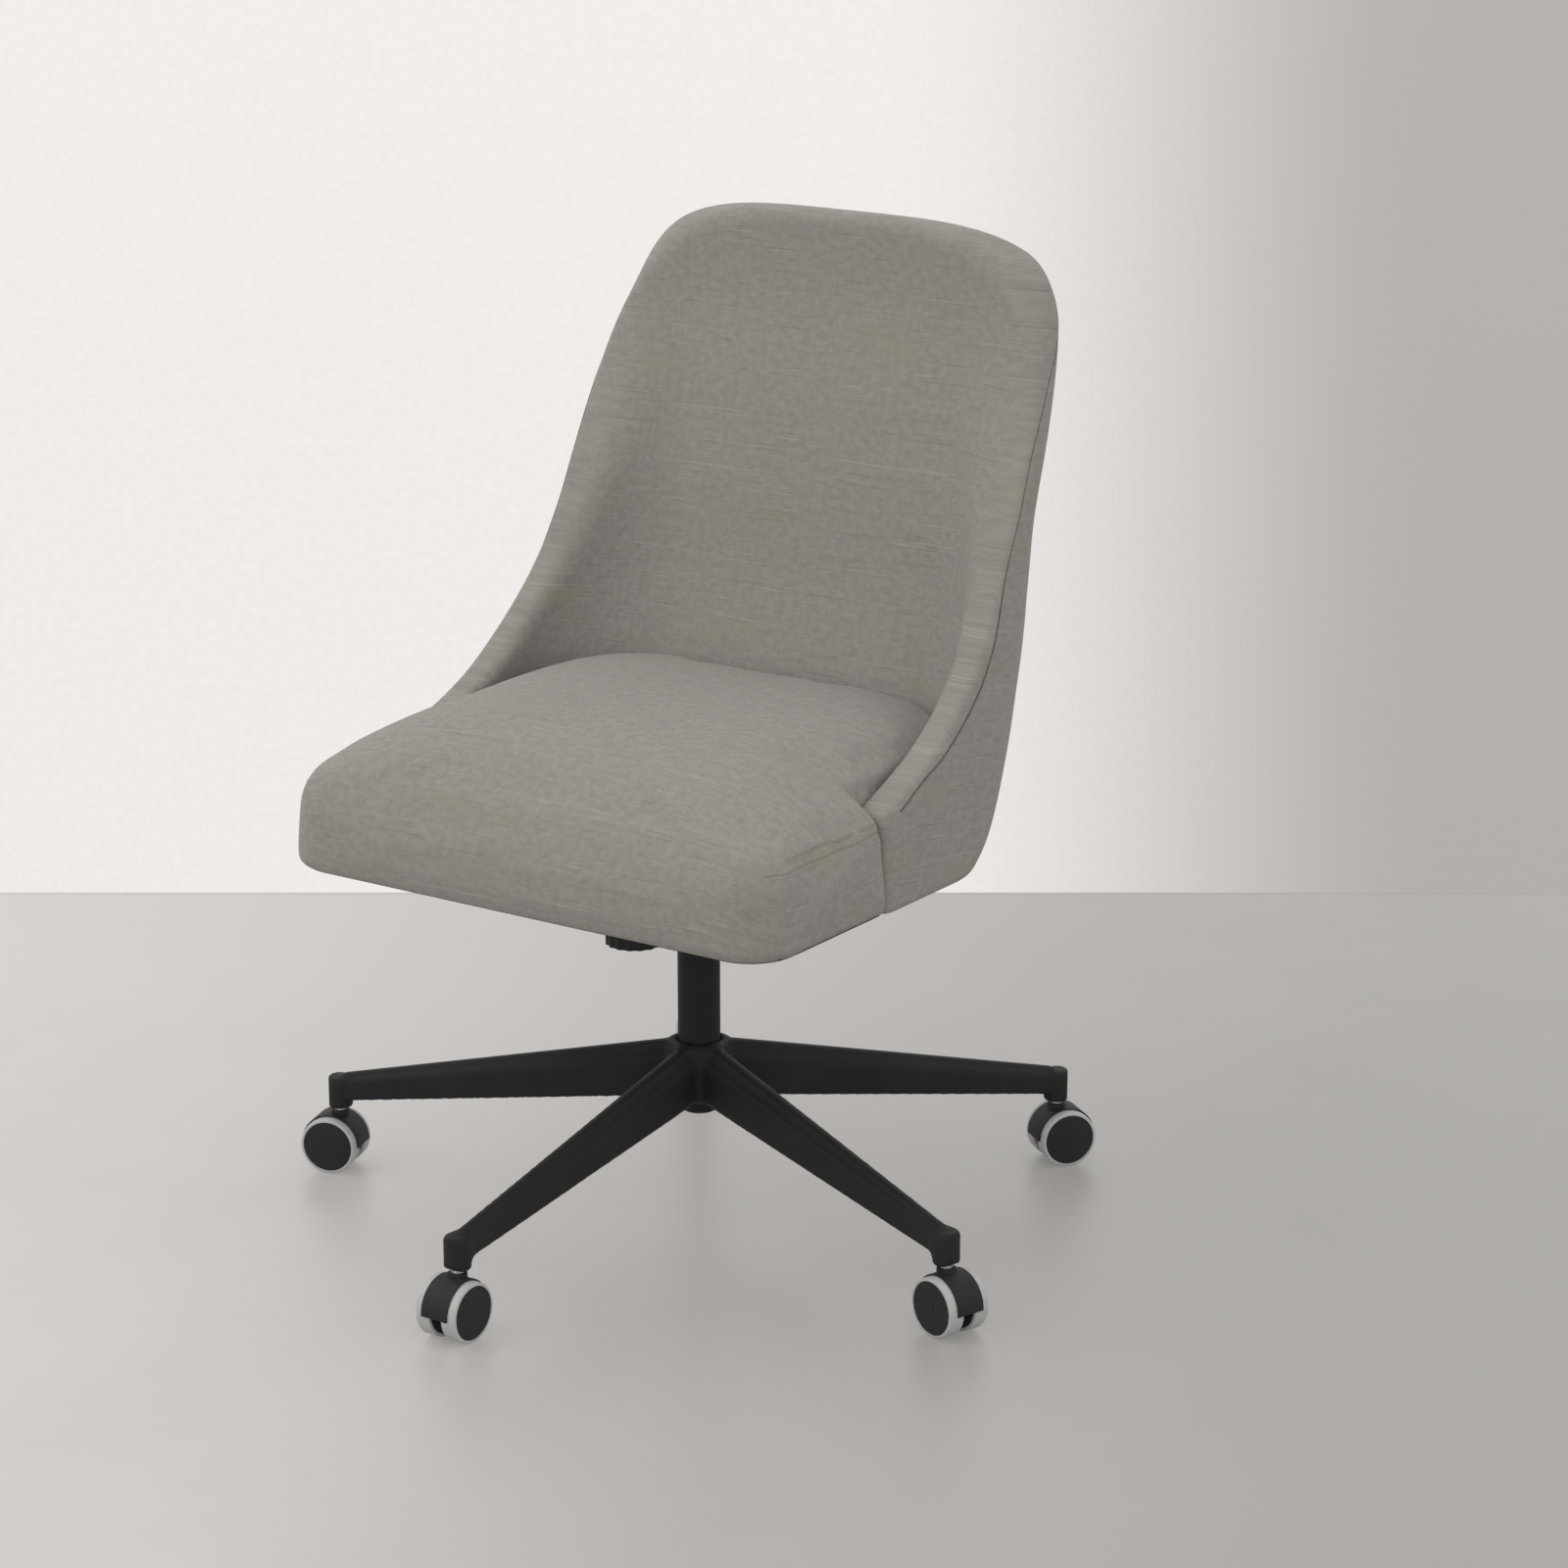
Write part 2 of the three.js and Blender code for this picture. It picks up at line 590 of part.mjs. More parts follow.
function tiltSpring() {
  const section = new THREE.Shape();
  section.absarc(0, 0, springWire, 0, 2 * Math.PI);
  const margin = springWire + fitGap + 0.2;
  const path = new Helix(springRadius, washerTop + margin, webBottom - margin, springTurns);
  return new THREE.ExtrudeGeometry(section, {
    steps: springTurns * 9, curveSegments: 3, bevelEnabled: false, extrudePath: path,
  }).translate(0, knobY, 0);
}

piece("tilt_spring", tiltSpring(), "brightSteel");

// ---- Upholstered seat and shell ----
// The shell's rear outline seen from the side: [Y, height as a share of the shell's height]
const rearOutline = new THREE.SplineCurve([
  [95, 0], [124, 0.054], [155, 0.18], [191, 0.37], [211, 0.553], [232, 0.755], [241, 0.88], [237, 1.02],
].map(([y, share]) => new THREE.Vector2(y, share)));

// The wings' front edge seen from the side: [Y, height as a share of the shell's height]
const lipOutline = [
  [slitY, 0.1637], [-3, 0.2357], [76, 0.3735], [127, 0.5511], [178, 0.7767], [194, 0.9283], [198, 1.0281],
];

function halfWidthAt(height) {
  return seatHalfWidth - topNarrowing * THREE.MathUtils.smoothstep(height, seatBottom, seatBottom + 285);
}

function cornerAt(height, corner) {
  const share = THREE.MathUtils.smoothstep(height, seatBottom + 250, seatBottom + 420);
  return corner - cornerTightening * share;
}

// The space inside the shell's outer face, drawn in by a sideways and a rearward inset
function bucket(sideInset, rearInset, lowCorner) {
  const sides = 36;
  return solidOf(loft(sides, 9, (rise) => {
    const spot = rearOutline.getPointAt(rise);
    const height = seatBottom - 2 + spot.y * (shellHeight + 4);
    const half = halfWidthAt(height) - sideInset;
    const rear = spot.x - rearInset;
    const corner = cornerAt(height, lowCorner);
    const outline = new THREE.Shape();
    outline.moveTo(half, slitY - 40);
    outline.lineTo(half, rear - corner);
    outline.absarc(half - corner, rear - corner, corner, 0, Math.PI / 2, false);
    outline.absarc(corner - half, rear - corner, corner, Math.PI / 2, Math.PI, false);
    outline.lineTo(-half, slitY - 40);
    outline.closePath();
    return { points: outline.getSpacedPoints(sides), height };
  }));
}

// What lies behind the wings' front edge, between two heights
function behindLip(inset, bottom) {
  const lip = new THREE.SplineCurve(
    lipOutline.map(([y, share]) => new THREE.Vector2(y, seatBottom + share * shellHeight)),
  );
  const shape = new THREE.Shape();
  shape.moveTo(slitY + inset, bottom);
  shape.lineTo(400, bottom);
  shape.lineTo(400, shellTop + 10);
  lip.getPoints(12).toReversed().forEach((point) => shape.lineTo(point.x + inset, point.y));
  return solidOf(sidewaysPrism(shape, [-400, 400]));
}

// The space under the shell's rounded top, which is squarer at the rear than at the front
function underTop(inset) {
  const centre = seatBottom + topCentreShare * shellHeight;
  const half = seatHalfWidth - topNarrowing + 2 - inset;
  const rise = shellTop - centre - inset;
  const shape = new THREE.Shape();
  const archSides = 20;
  shape.moveTo(-400, seatBottom - 10);
  shape.lineTo(400, seatBottom - 10);
  shape.lineTo(400, centre - 60);
  shape.lineTo(half + 12, centre - 60);
  for (let i = 0; i <= archSides; i += 1) {
    const across = Math.cos((Math.PI * i) / archSides);
    shape.lineTo(half * Math.sign(across) * Math.abs(across) ** 0.6, centre + 1);
  }
  shape.lineTo(-half - 12, centre - 60);
  shape.lineTo(-400, centre - 60);
  const [from, to] = topSquaring;
  const stations = [400, to, to - 10, to - 20, to - 30, to - 40, from, -300];
  const steps = stations.length - 1;
  const geometry = new THREE.ExtrudeGeometry(shape, { depth: 1, steps, bevelEnabled: false });
  const position = geometry.attributes.position;
  for (let i = 0; i < position.count; i += 1) {
    const x = position.getX(i);
    const y = stations[Math.round(position.getZ(i) * steps)];
    const power = THREE.MathUtils.lerp(topPower, topRearPower, THREE.MathUtils.smoothstep(y, from, to));
    const arch = centre + rise * (1 - Math.min(1, Math.abs(x / half)) ** power) ** (1 / power);
    position.setXYZ(i, x, y, position.getY(i) > centre ? arch : position.getY(i));
  }
  return solidOf(geometry);
}

function shellLayer(outer, inner, edgeInset, bottom) {
  return cut(outer, inner).intersect(behindLip(edgeInset, bottom)).intersect(underTop(edgeInset));
}

const frameOutside = coverThickness + fitGap;
const frameInside = frameOutside + frameThickness;
const padOutside = frameInside + fitGap;
const cavityCorner = rearCorner + cavityRounding;

function cavity(inset) {
  return bucket(wingThickness + inset, backThickness + inset, cavityCorner);
}

piece("back_cover", shellLayer(bucket(0, 0, rearCorner),
  bucket(coverThickness, coverThickness, rearCorner - coverThickness), 0, seatBottom), "fabric");
piece("back_frame", shellLayer(bucket(frameOutside, frameOutside, rearCorner - frameOutside),
  bucket(frameInside, frameInside, rearCorner - frameInside), edgePadding, boardBottom), "plywood");
piece("back_pad", shellLayer(bucket(padOutside, padOutside, rearCorner - padOutside),
  cavity(0), 0, boardBottom), "fabric");

function frontBlockPlan(inset) {
  const half = seatHalfWidth - inset;
  const front = seatFront + inset;
  const corner = frontCorner - inset;
  const rear = slitY - 1;
  const plan = new THREE.Shape();
  plan.moveTo(half, rear);
  plan.lineTo(-half, rear);
  plan.lineTo(-half, front + corner);
  plan.absarc(corner - half, front + corner, corner, Math.PI, 1.5 * Math.PI, false);
  plan.absarc(half - corner, front + corner, corner, 1.5 * Math.PI, 2 * Math.PI, false);
  return plan;
}

function seatPlan(inset, z) {
  const frontBlock = solidOf(uprightPrism(frontBlockPlan(inset), z));
  const between = solidOf(block([-seatHalfWidth, seatHalfWidth], [slitY - 20, 300], z));
  return join(frontBlock, between.intersect(cavity(inset / 4 + 1)));
}

function crowned() {
  const width = 2 * seatHalfWidth;
  const depth = 2 * (crownY - seatFront);
  const geometry = new THREE.BoxGeometry(width, depth, 1, 12, 20, 1);
  const position = geometry.attributes.position;
  for (let i = 0; i < position.count; i += 1) {
    const x = position.getX(i);
    const y = position.getY(i);
    const across = 1 - Math.abs(x / seatHalfWidth) ** 4.5;
    const along = 1 - (y < 0 ? ((-2 * y) / depth) ** 5 : (y / crownFall) ** 2);
    const top = seatEdgeTop + crownHeight * across * along;
    position.setXYZ(i, x, y + crownY, position.getZ(i) > 0 ? top : seatBottom);
  }
  return solidOf(geometry);
}

const seatTopMost = seatEdgeTop + crownHeight + 10;
const boardRoom = seatPlan(coverSkirt - fitGap, [seatBottom - 10, boardTop + fitGap]);
piece("seat_cushion", cut(seatPlan(0, [seatBottom, seatTopMost]).intersect(crowned()), boardRoom), "fabric");
piece("seat_board", seatPlan(coverSkirt, [boardBottom, boardTop]), "plywood");

const dust = cut(seatPlan(coverSkirt, [seatBottom, seatBottom + 1]),
  solidOf(block([-plateHalfWidth - dustWindow, plateHalfWidth + dustWindow],
    [plateFront - dustWindow, 300], [seatBottom - 5, seatBottom + 5])));
piece("dust_cover", dust, "dustCloth");

// ---- The origin lies on the floor, midway between the front castor and the two rear ones ----
const castorReach = stemCircle + castorTrail;
const rearAngle = THREE.MathUtils.degToRad(legAngle(2));
const frontReach = castorReach + hoodRadius;
const rearReach = (castorReach + wheelRadius) * Math.sin(rearAngle)
  + (treadOutside - treadRounding) * Math.cos(rearAngle);
chair.position.y = (frontReach - rearReach) / 2;

export default chair;
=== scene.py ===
import json
import math

import bpy
import numpy as np
from mathutils import Matrix, Vector

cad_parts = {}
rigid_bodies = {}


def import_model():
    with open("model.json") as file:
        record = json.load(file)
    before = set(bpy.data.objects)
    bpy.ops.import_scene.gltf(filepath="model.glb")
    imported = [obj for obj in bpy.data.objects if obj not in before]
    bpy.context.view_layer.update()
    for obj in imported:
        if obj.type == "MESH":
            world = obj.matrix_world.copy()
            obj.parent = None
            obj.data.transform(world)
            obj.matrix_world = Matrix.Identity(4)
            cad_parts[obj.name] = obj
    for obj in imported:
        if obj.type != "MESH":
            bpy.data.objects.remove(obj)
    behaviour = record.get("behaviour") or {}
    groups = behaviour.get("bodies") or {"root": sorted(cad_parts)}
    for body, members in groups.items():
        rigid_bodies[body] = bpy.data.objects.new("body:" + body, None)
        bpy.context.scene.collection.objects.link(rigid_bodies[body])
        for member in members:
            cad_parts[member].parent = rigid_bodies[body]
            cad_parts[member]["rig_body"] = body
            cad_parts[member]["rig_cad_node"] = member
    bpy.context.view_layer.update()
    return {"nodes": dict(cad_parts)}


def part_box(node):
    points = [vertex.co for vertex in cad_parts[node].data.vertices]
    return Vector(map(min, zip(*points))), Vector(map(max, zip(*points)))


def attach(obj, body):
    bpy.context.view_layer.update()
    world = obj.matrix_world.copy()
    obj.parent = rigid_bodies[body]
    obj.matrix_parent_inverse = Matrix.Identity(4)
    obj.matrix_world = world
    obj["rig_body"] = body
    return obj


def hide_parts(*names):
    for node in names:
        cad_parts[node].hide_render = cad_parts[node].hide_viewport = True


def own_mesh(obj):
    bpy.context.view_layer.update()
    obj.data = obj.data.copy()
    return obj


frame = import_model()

bl_info = {
    "name": "Upholstered swivel chair",
    "version": (1, 0, 0),
    "blender": (4, 5, 0),
    "location": "View3D > Sidebar > Chair",
    "description": "Upholstery, castings and castors for a swivel office chair",
    "category": "Object",
}

MM = 0.001


def span(node, axis):
    """Where a CAD node starts and ends along an axis, in millimetres."""
    low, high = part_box(node)
    return low[axis] / MM, high[axis] / MM


COLUMN_Y = sum(span("column_tube", 1)) / 2
SEAT_BOTTOM = span("seat_cushion", 2)[0]
SHELL_TOP = span("back_cover", 2)[1]
HALF_WIDTH = span("seat_cushion", 0)[1]
SEAT_FRONT = span("seat_cushion", 1)[0] - COLUMN_Y
SLIT_Y = span("back_cover", 1)[0] - COLUMN_Y
BOARD_TOP = span("seat_board", 2)[1]
HUB_BOTTOM, HUB_TOP = span("star_base", 2)[0] + 47.0, span("star_base", 2)[1]
TUBE_BOTTOM, TUBE_TOP = span("column_tube", 2)


# ---- Sizes and colours that a user would change ----
def length(name, about, millimetres):
    return bpy.props.FloatProperty(
        name=name, description=about, default=millimetres * MM, unit="LENGTH", precision=4)


def colour(name, about, rgb):
    return bpy.props.FloatVectorProperty(name=name, description=about, default=rgb, size=3, min=0, max=1,
                                         subtype="COLOR")


class ChairSizes(bpy.types.PropertyGroup):
    wing_thickness: length("Wing thickness", "Padded thickness of the shell's side wings", 30)
    back_thickness: length("Back thickness", "Padded thickness of the backrest", 48)
    outer_corner: length("Outer corner", "Radius of the shell's rear corners, seen from above", 80)
    corner_tightening: length("Corner tightening", "How much smaller the rear corners are near the top", 18)
    inner_corner: length("Inner corner", "Radius of the hollow's rear corners, seen from above", 84)
    lip_roll: length("Lip roll", "Rounding of the shell's edge towards the sitter", 13)
    tip_roll: length("Tip roll", "The same rounding at the wings' front tips", 6)
    top_roll: length("Top roll", "Rounding of the backrest's top edge", 20)
    seam_roll: length("Seam roll", "Rounding of the shell's edge at its outer seam", 7)
    seat_side: length("Seat side", "Height of the seat's side panel", 75)
    crown: length("Crown", "How far the seat's middle stands above its edges", 57)
    front_corner: length("Front corner", "Radius of the seat's front corners, seen from above", 46)
    cloth_mesh: length("Cloth mesh", "Spacing of the upholstery's mesh", 4)
    casting_mesh: length("Casting mesh", "Spacing of the base casting's mesh", 2)
    seam_thread: length("Seam thread", "Radius of the closed seam's line", 0.7)
    stem_circle: length("Stem circle", "From the column's axis to each castor's stem", 330)
    wheel_radius: length("Wheel radius", "Radius over a castor's tread", 25)
    castor_width: length("Castor width", "Width over a castor's two wheels", 40)


class ChairColours(bpy.types.PropertyGroup):
    linen: colour("Linen", "Upholstery cloth", (0.252, 0.239, 0.221))
    # painted shade: the dark line laid along the shell's outer seam
    seam: colour("Seam", "Shadowed line of a closed seam", (0.075, 0.070, 0.063))
    casting: colour("Casting", "Powder-coated base and column", (0.0178, 0.0178, 0.0180))
    nylon: colour("Nylon", "Moulded castor hoods, wheel faces and knobs", (0.0165, 0.0165, 0.0167))
    tread: colour("Tread", "Soft wheel treads", (0.43, 0.43, 0.425))
    steel: colour("Steel", "Bright zinc-plated steel", (0.60, 0.60, 0.61))
    dark_steel: colour("Dark steel", "Coated pressed steel", (0.028, 0.028, 0.030))
    plywood: colour("Plywood", "Birch plywood", (0.46, 0.30, 0.15))
    dust_cloth: colour("Dust cloth", "Non-woven cloth under the seat", (0.012, 0.012, 0.012))
    # Floor: half of its tone also glows as self-lit light. Wall: the glow colour of the self-lit plaster.
    # Wall shade: painted shade on the plaster's right side.
    floor: colour("Floor", "Polished concrete", (0.545, 0.525, 0.508))
    wall: colour("Wall", "Painted plaster", (0.84, 0.812, 0.79))
    wall_shade: colour("Wall shade", "The plaster's shaded side", (0.415, 0.395, 0.38))


# ---- Smooth shapes as distances: below zero inside, above zero outside, all in millimetres ----
def ease(value, low, high):
    share = np.clip((value - low) / (high - low), 0, 1)
    return share * share * (3 - 2 * share)


def common(first, second, radius):
    """What two shapes share, with the edge between them rounded."""
    return (np.minimum(np.maximum(first, second), -radius)
            + np.hypot(np.maximum(first + radius, 0), np.maximum(second + radius, 0)))


def merged(first, second, radius):
    """Both shapes together, with a fillet between them."""
    return -common(-first, -second, radius)


def rounded_plan(x, y, half, rear, corner):
    """Seen from above: open towards the front, with round corners at the rear."""
    across = np.abs(x) - (half - corner)
    along = y - (rear - corner)
    beyond = np.hypot(np.maximum(across, 0), np.maximum(along, 0))
    return beyond + np.minimum(np.maximum(across, along), 0) - corner


def smooth_line(stops, pieces=60):
    """A smooth line through the stops."""
    stops = np.array(stops, float)
    line = []
    for i in range(len(stops) - 1):
        before, start = stops[max(i - 1, 0)], stops[i]
        end, after = stops[i + 1], stops[min(i + 2, len(stops) - 1)]
        for step in range(pieces):
            t = step / pieces
            line.append(0.5 * (2 * start + (end - before) * t
                               + (2 * before - 5 * start + 4 * end - after) * t ** 2
                               + (3 * start - before - 3 * end + after) * t ** 3))
    line.append(stops[-1])
    return np.array(line)


def softened_line(values, width):
    """Values in an even row, averaged over a width of so many of them."""
    weights = np.hanning(width + 2)[1:-1]
    padded = np.pad(values, width // 2, mode="edge")
    return np.convolve(padded, weights / weights.sum(), mode="valid")[:len(values)]


# ---- The shell's outlines ----
# Rear outline seen from the side: distance behind the column's axis, height as a share of the shell's
REAR_STOPS = [(95, 0), (124, 0.054), (155, 0.18), (191, 0.37), (211, 0.553), (232, 0.755), (241, 0.88),
              (237, 1.02)]
# Front edge of the wings seen from the side: distance behind the column's axis, height over the seat's foot
LIP_STOPS = [(-84, 82), (-3, 118), (76, 187), (127, 276), (178, 389), (194, 465), (198, 515)]
SHELL_HEIGHT = SHELL_TOP - SEAT_BOTTOM
HEIGHTS = np.arange(SEAT_BOTTOM - 40, SHELL_TOP + 60, 1.0)

rear_line = smooth_line(REAR_STOPS)
rear_at_heights = softened_line(np.interp(HEIGHTS, SEAT_BOTTOM - 2 + rear_line[:, 1] * (SHELL_HEIGHT + 4),
                                          rear_line[:, 0]), 15)
lip_line = smooth_line(LIP_STOPS)
lip_at_heights = softened_line(np.interp(HEIGHTS, SEAT_BOTTOM + lip_line[:, 1], lip_line[:, 0]), 17)
lip_lean = np.gradient(lip_at_heights, HEIGHTS)


def rear_at(z):
    return np.interp(z, HEIGHTS, rear_at_heights)


def lip_at(z):
    return np.interp(z, HEIGHTS, lip_at_heights)


def half_width_at(z):
    return HALF_WIDTH - 14 * ease(z, SEAT_BOTTOM, SEAT_BOTTOM + 285)


TOP_CENTRE = SEAT_BOTTOM + 0.5425 * SHELL_HEIGHT
TOP_HALF = HALF_WIDTH - 12


def top_power(y):
    """Squareness of the rounded top: squarer towards the rear."""
    return 2.8 + 1.5 * ease(y, 190, 240)


def top_height(x, y, inset=0):
    """Height of the shell's rounded top at a distance from its middle."""
    power = top_power(y)
    share = np.clip(np.abs(x) / (TOP_HALF - inset), 0, 1) ** power
    return TOP_CENTRE + (SHELL_TOP - TOP_CENTRE - inset) * (1 - share) ** (1 / power)


def top_distance(x, y, z):
    rise = SHELL_TOP - TOP_CENTRE
    power = top_power(y)
    half = TOP_HALF + 14 * ease(-z, 20 - TOP_CENTRE, 130 - TOP_CENTRE)
    across = np.maximum(np.abs(x), 1e-6) / half
    up = np.maximum(z - TOP_CENTRE, 0) / rise
    total = (across ** power + up ** power) ** (1 / power)
    slope = np.hypot((across / total) ** (power - 1) / half, (up / total) ** (power - 1) / rise)
    return (total - 1) / np.maximum(slope, 1e-4)


def lip_distance(y, z):
    return (lip_at(z) - y) / np.sqrt(1 + np.interp(z, HEIGHTS, lip_lean) ** 2)


def hollow(x, y, z, wing, back, corner):
    return rounded_plan(x, y, half_width_at(z) - wing, rear_at(z) - back, corner)


def corner_at(z, corner, sizes):
    return (corner - sizes.corner_tightening * ease(z, SEAT_BOTTOM + 250, SEAT_BOTTOM + 420)) / MM


def shell_field(sizes):
    wing, back = sizes.wing_thickness / MM, sizes.back_thickness / MM
    lip_roll, top_roll, seam_roll = sizes.lip_roll / MM, sizes.top_roll / MM, sizes.seam_roll / MM
    tip_roll = sizes.tip_roll / MM

    def field(x, y, z):
        outside = rounded_plan(x, y, half_width_at(z), rear_at(z), corner_at(z, sizes.outer_corner, sizes))
        inside = -hollow(x, y, z, wing, back, corner_at(z, sizes.inner_corner, sizes))
        edge = common(lip_distance(y, z), top_distance(x, y, z), 12)
        high = ease(z, SEAT_BOTTOM + 260, SEAT_BOTTOM + 440)
        # the cloth draws in a little along the outer seam
        seam_depth = 9 + 7 * ease(z, SEAT_BOTTOM + 95, SEAT_BOTTOM + 140) * (1 - high)
        pinch = 1.1 * np.exp(-((edge + seam_depth) / 7) ** 2)
        near = common(outside + pinch, edge, seam_roll + (top_roll - seam_roll) * high)
        roll = tip_roll + (lip_roll - tip_roll) * ease(z, SEAT_BOTTOM + 88, SEAT_BOTTOM + 142)
        far = common(inside, edge, roll + (top_roll - lip_roll) * high)
        body = np.maximum(near, far)
        return common(body, SEAT_BOTTOM + 0.4 - z, 5)
    return field


# ---- The seat's outline and crown ----
def crown_top(x, y, sizes):
    across = 1 - np.minimum(np.abs(x) / HALF_WIDTH, 1.05) ** 4.5
    ahead = np.clip((20 - y) / (20 - SEAT_FRONT), 0, 1.05)
    along = 1 - ahead ** 5 - (np.maximum(y - 20, 0) / 246) ** 2
    return SEAT_BOTTOM + sizes.seat_side / MM + sizes.crown / MM * across * along


def seat_plan(x, y, z, sizes, inset, behind_inset=None):
    """The seat seen from above. Between the wings its inset can differ."""
    behind_inset = inset if behind_inset is None else behind_inset
    block = rounded_plan(x, -y, HALF_WIDTH - inset, -SEAT_FRONT - inset, sizes.front_corner / MM)
    block = common(block, y - (SLIT_Y - 1 - inset), 2.5)
    behind = hollow(x, y, z, sizes.wing_thickness / MM + 1 + behind_inset,
                    sizes.back_thickness / MM + 1 + behind_inset,
                    corner_at(z, sizes.inner_corner, sizes))
    behind = np.maximum(behind, SLIT_Y - 30 - y)
    return merged(block, behind, 3)


def seat_field(sizes, inset):
    side = SEAT_BOTTOM + sizes.seat_side / MM

    def field(x, y, z):
        # a shape drawn in for its cloth keeps its full size at the foot
        drawn = 0.6 + (inset - 0.6) * ease(z, SEAT_BOTTOM + 12, side - 12)
        plan = seat_plan(x, y, z, sizes, drawn)
        top = z - (crown_top(x, y, sizes) - inset)
        # crisp along the side seam, softer at the front
        front = ease(-y, 90, -SEAT_FRONT)
        roll = 5 + 17 * front
        shape = common(plan, top * 0.8, roll)
        tuck = 1.3 * np.exp(-((z - side + 3) / 5) ** 2) * (1 - front)
        shape = common(shape + tuck, SEAT_BOTTOM + 0.5 - z, 9)
        return common(shape, -board_pocket(x, y, z, sizes), 0.6)
    return field


def board_pocket(x, y, z, sizes):
    """Room for the plywood board in the cushion's underside."""
    return np.maximum(seat_plan(x, y, z, sizes, 7.6, 1.6), z - BOARD_TOP - FIT_GAP)


# ---- The base casting ----
POST_BOTTOM, POST_TOP = 57.1, 87.1
POST_RADIUS = 11.25
LEG_END_DEPTH, LEG_HUB_DEPTH = 23.5, 49.0
LEG_END_HALF, LEG_HUB_HALF = 8.5, 14.5
HUB_RADIUS = 24.5
COLUMN_RADIUS, STUB_RADIUS = 18.0, 14.5
FIT_GAP = 0.3

# ---- The castors' and the spring's fixed places ----
CASTOR_TRAIL = 5.0
CASTOR_WEB = 11.0
AXLE_HOLE = 3.3
CLOTH_ROOM = 2.6  # how far the seat is drawn in before its cover is blown up
CLOTH_REACH = 3.0  # the farthest that the cover moves

# ---- The room, in metres and degrees ----
EYE = Vector((1.9859, -2.7328, 1.3720))
AZIMUTH = 34.5
LOOK_DOWN = 16.301
WALL_AHEAD = 4.283
# Half of a leg's section from the underside to the ridge: width and height as shares
LEG_SECTION = [(0.0, 0.0), (0.80, 0.0), (1.0, 0.08), (1.0, 0.66), (0.90, 0.765), (0.62, 0.835), (0.46, 0.90),
               (0.34, 0.975), (0.0, 1.0)]


def leg_distance(along, across, z, reach):
    share = np.clip((along - STUB_RADIUS) / (reach - STUB_RADIUS), -0.3, 1.1)
    top = HUB_TOP + (POST_TOP - HUB_TOP) * share
    bottom = (HUB_TOP - LEG_HUB_DEPTH) + (POST_TOP - LEG_END_DEPTH - HUB_TOP + LEG_HUB_DEPTH) * share
    half = LEG_HUB_HALF + (LEG_END_HALF - LEG_HUB_HALF) * share
    side = np.abs(across)
    best = np.full(np.shape(along), 1e12)
    inside = np.zeros(np.shape(along), bool)
    deep = top - bottom
    for (w0, h0), (w1, h1) in zip(LEG_SECTION, LEG_SECTION[1:]):
        ax, ay = w0 * half, bottom + h0 * deep
        bx, by = w1 * half, bottom + h1 * deep
        ex, ey = bx - ax, by - ay
        px, py = side - ax, z - ay
        t = np.clip((px * ex + py * ey) / (ex * ex + ey * ey), 0, 1)
        best = np.minimum(best, (px - t * ex) ** 2 + (py - t * ey) ** 2)
        if h1 != h0:
            crosses = (z >= ay) != (z >= by)
            at = ax + (z - ay) * ex / np.where(np.abs(ey) < 1e-9, 1e-9, ey)
            inside ^= crosses & (side < at)
    distance = np.sqrt(best)
    section = np.where(inside, -distance, distance)
    return common(section, along - reach, 8)


def casting_field(sizes):
    reach = sizes.stem_circle / MM

    def field(x, y, z):
        radius = np.hypot(x, y)
        hub_ends = np.abs(z - (HUB_TOP + HUB_BOTTOM) / 2) - (HUB_TOP - HUB_BOTTOM) / 2
        hub = common(radius - HUB_RADIUS, hub_ends, 4)
        legs = None
        turn = math.tau / 5
        angle = np.arctan2(y, x) + math.pi / 2
        first = np.round(angle / turn) * turn
        swing = np.where(angle > first, 1, -1)
        for way in (first, first + swing * turn):
            local = angle - way
            along, across = radius * np.cos(local), radius * np.sin(local)
            leg = leg_distance(along, across, z, reach)
            post = common(np.hypot(along - reach, across) - POST_RADIUS,
                          np.abs(z - (POST_TOP + POST_BOTTOM) / 2) - (POST_TOP - POST_BOTTOM) / 2, 2.2)
            cap = np.maximum(z - POST_TOP, along - reach - POST_RADIUS)
            leg = merged(leg, common(post, cap, 8), 5)
            legs = leg if legs is None else merged(legs, leg, 7)
        whole = merged(hub, legs, 6)
        taper = np.clip((z - HUB_BOTTOM) / (HUB_TOP - HUB_BOTTOM), 0, 1)
        bore = radius - (STUB_RADIUS + FIT_GAP + (COLUMN_RADIUS - STUB_RADIUS) * taper)
        return common(whole, -bore, 0.8)
    return field


# ---- Turning a distance into a mesh ----
def slopes(field, points, reach=0.25):
    columns = []
    for axis in range(3):
        step = np.zeros(3)
        step[axis] = reach
        ahead, behind = points + step, points - step
        columns.append((field(*ahead.T) - field(*behind.T)) / (2 * reach))
    return np.stack(columns, 1)


def settle(field, points, rounds, most):
    """Moves points onto the shape's surface."""
    for _ in range(rounds):
        value = field(*points.T)
        slope = slopes(field, points)
        steep = np.maximum((slope ** 2).sum(1), 0.05)
        points = points - slope * np.clip(value / steep, -most, most)[:, None]
    return points


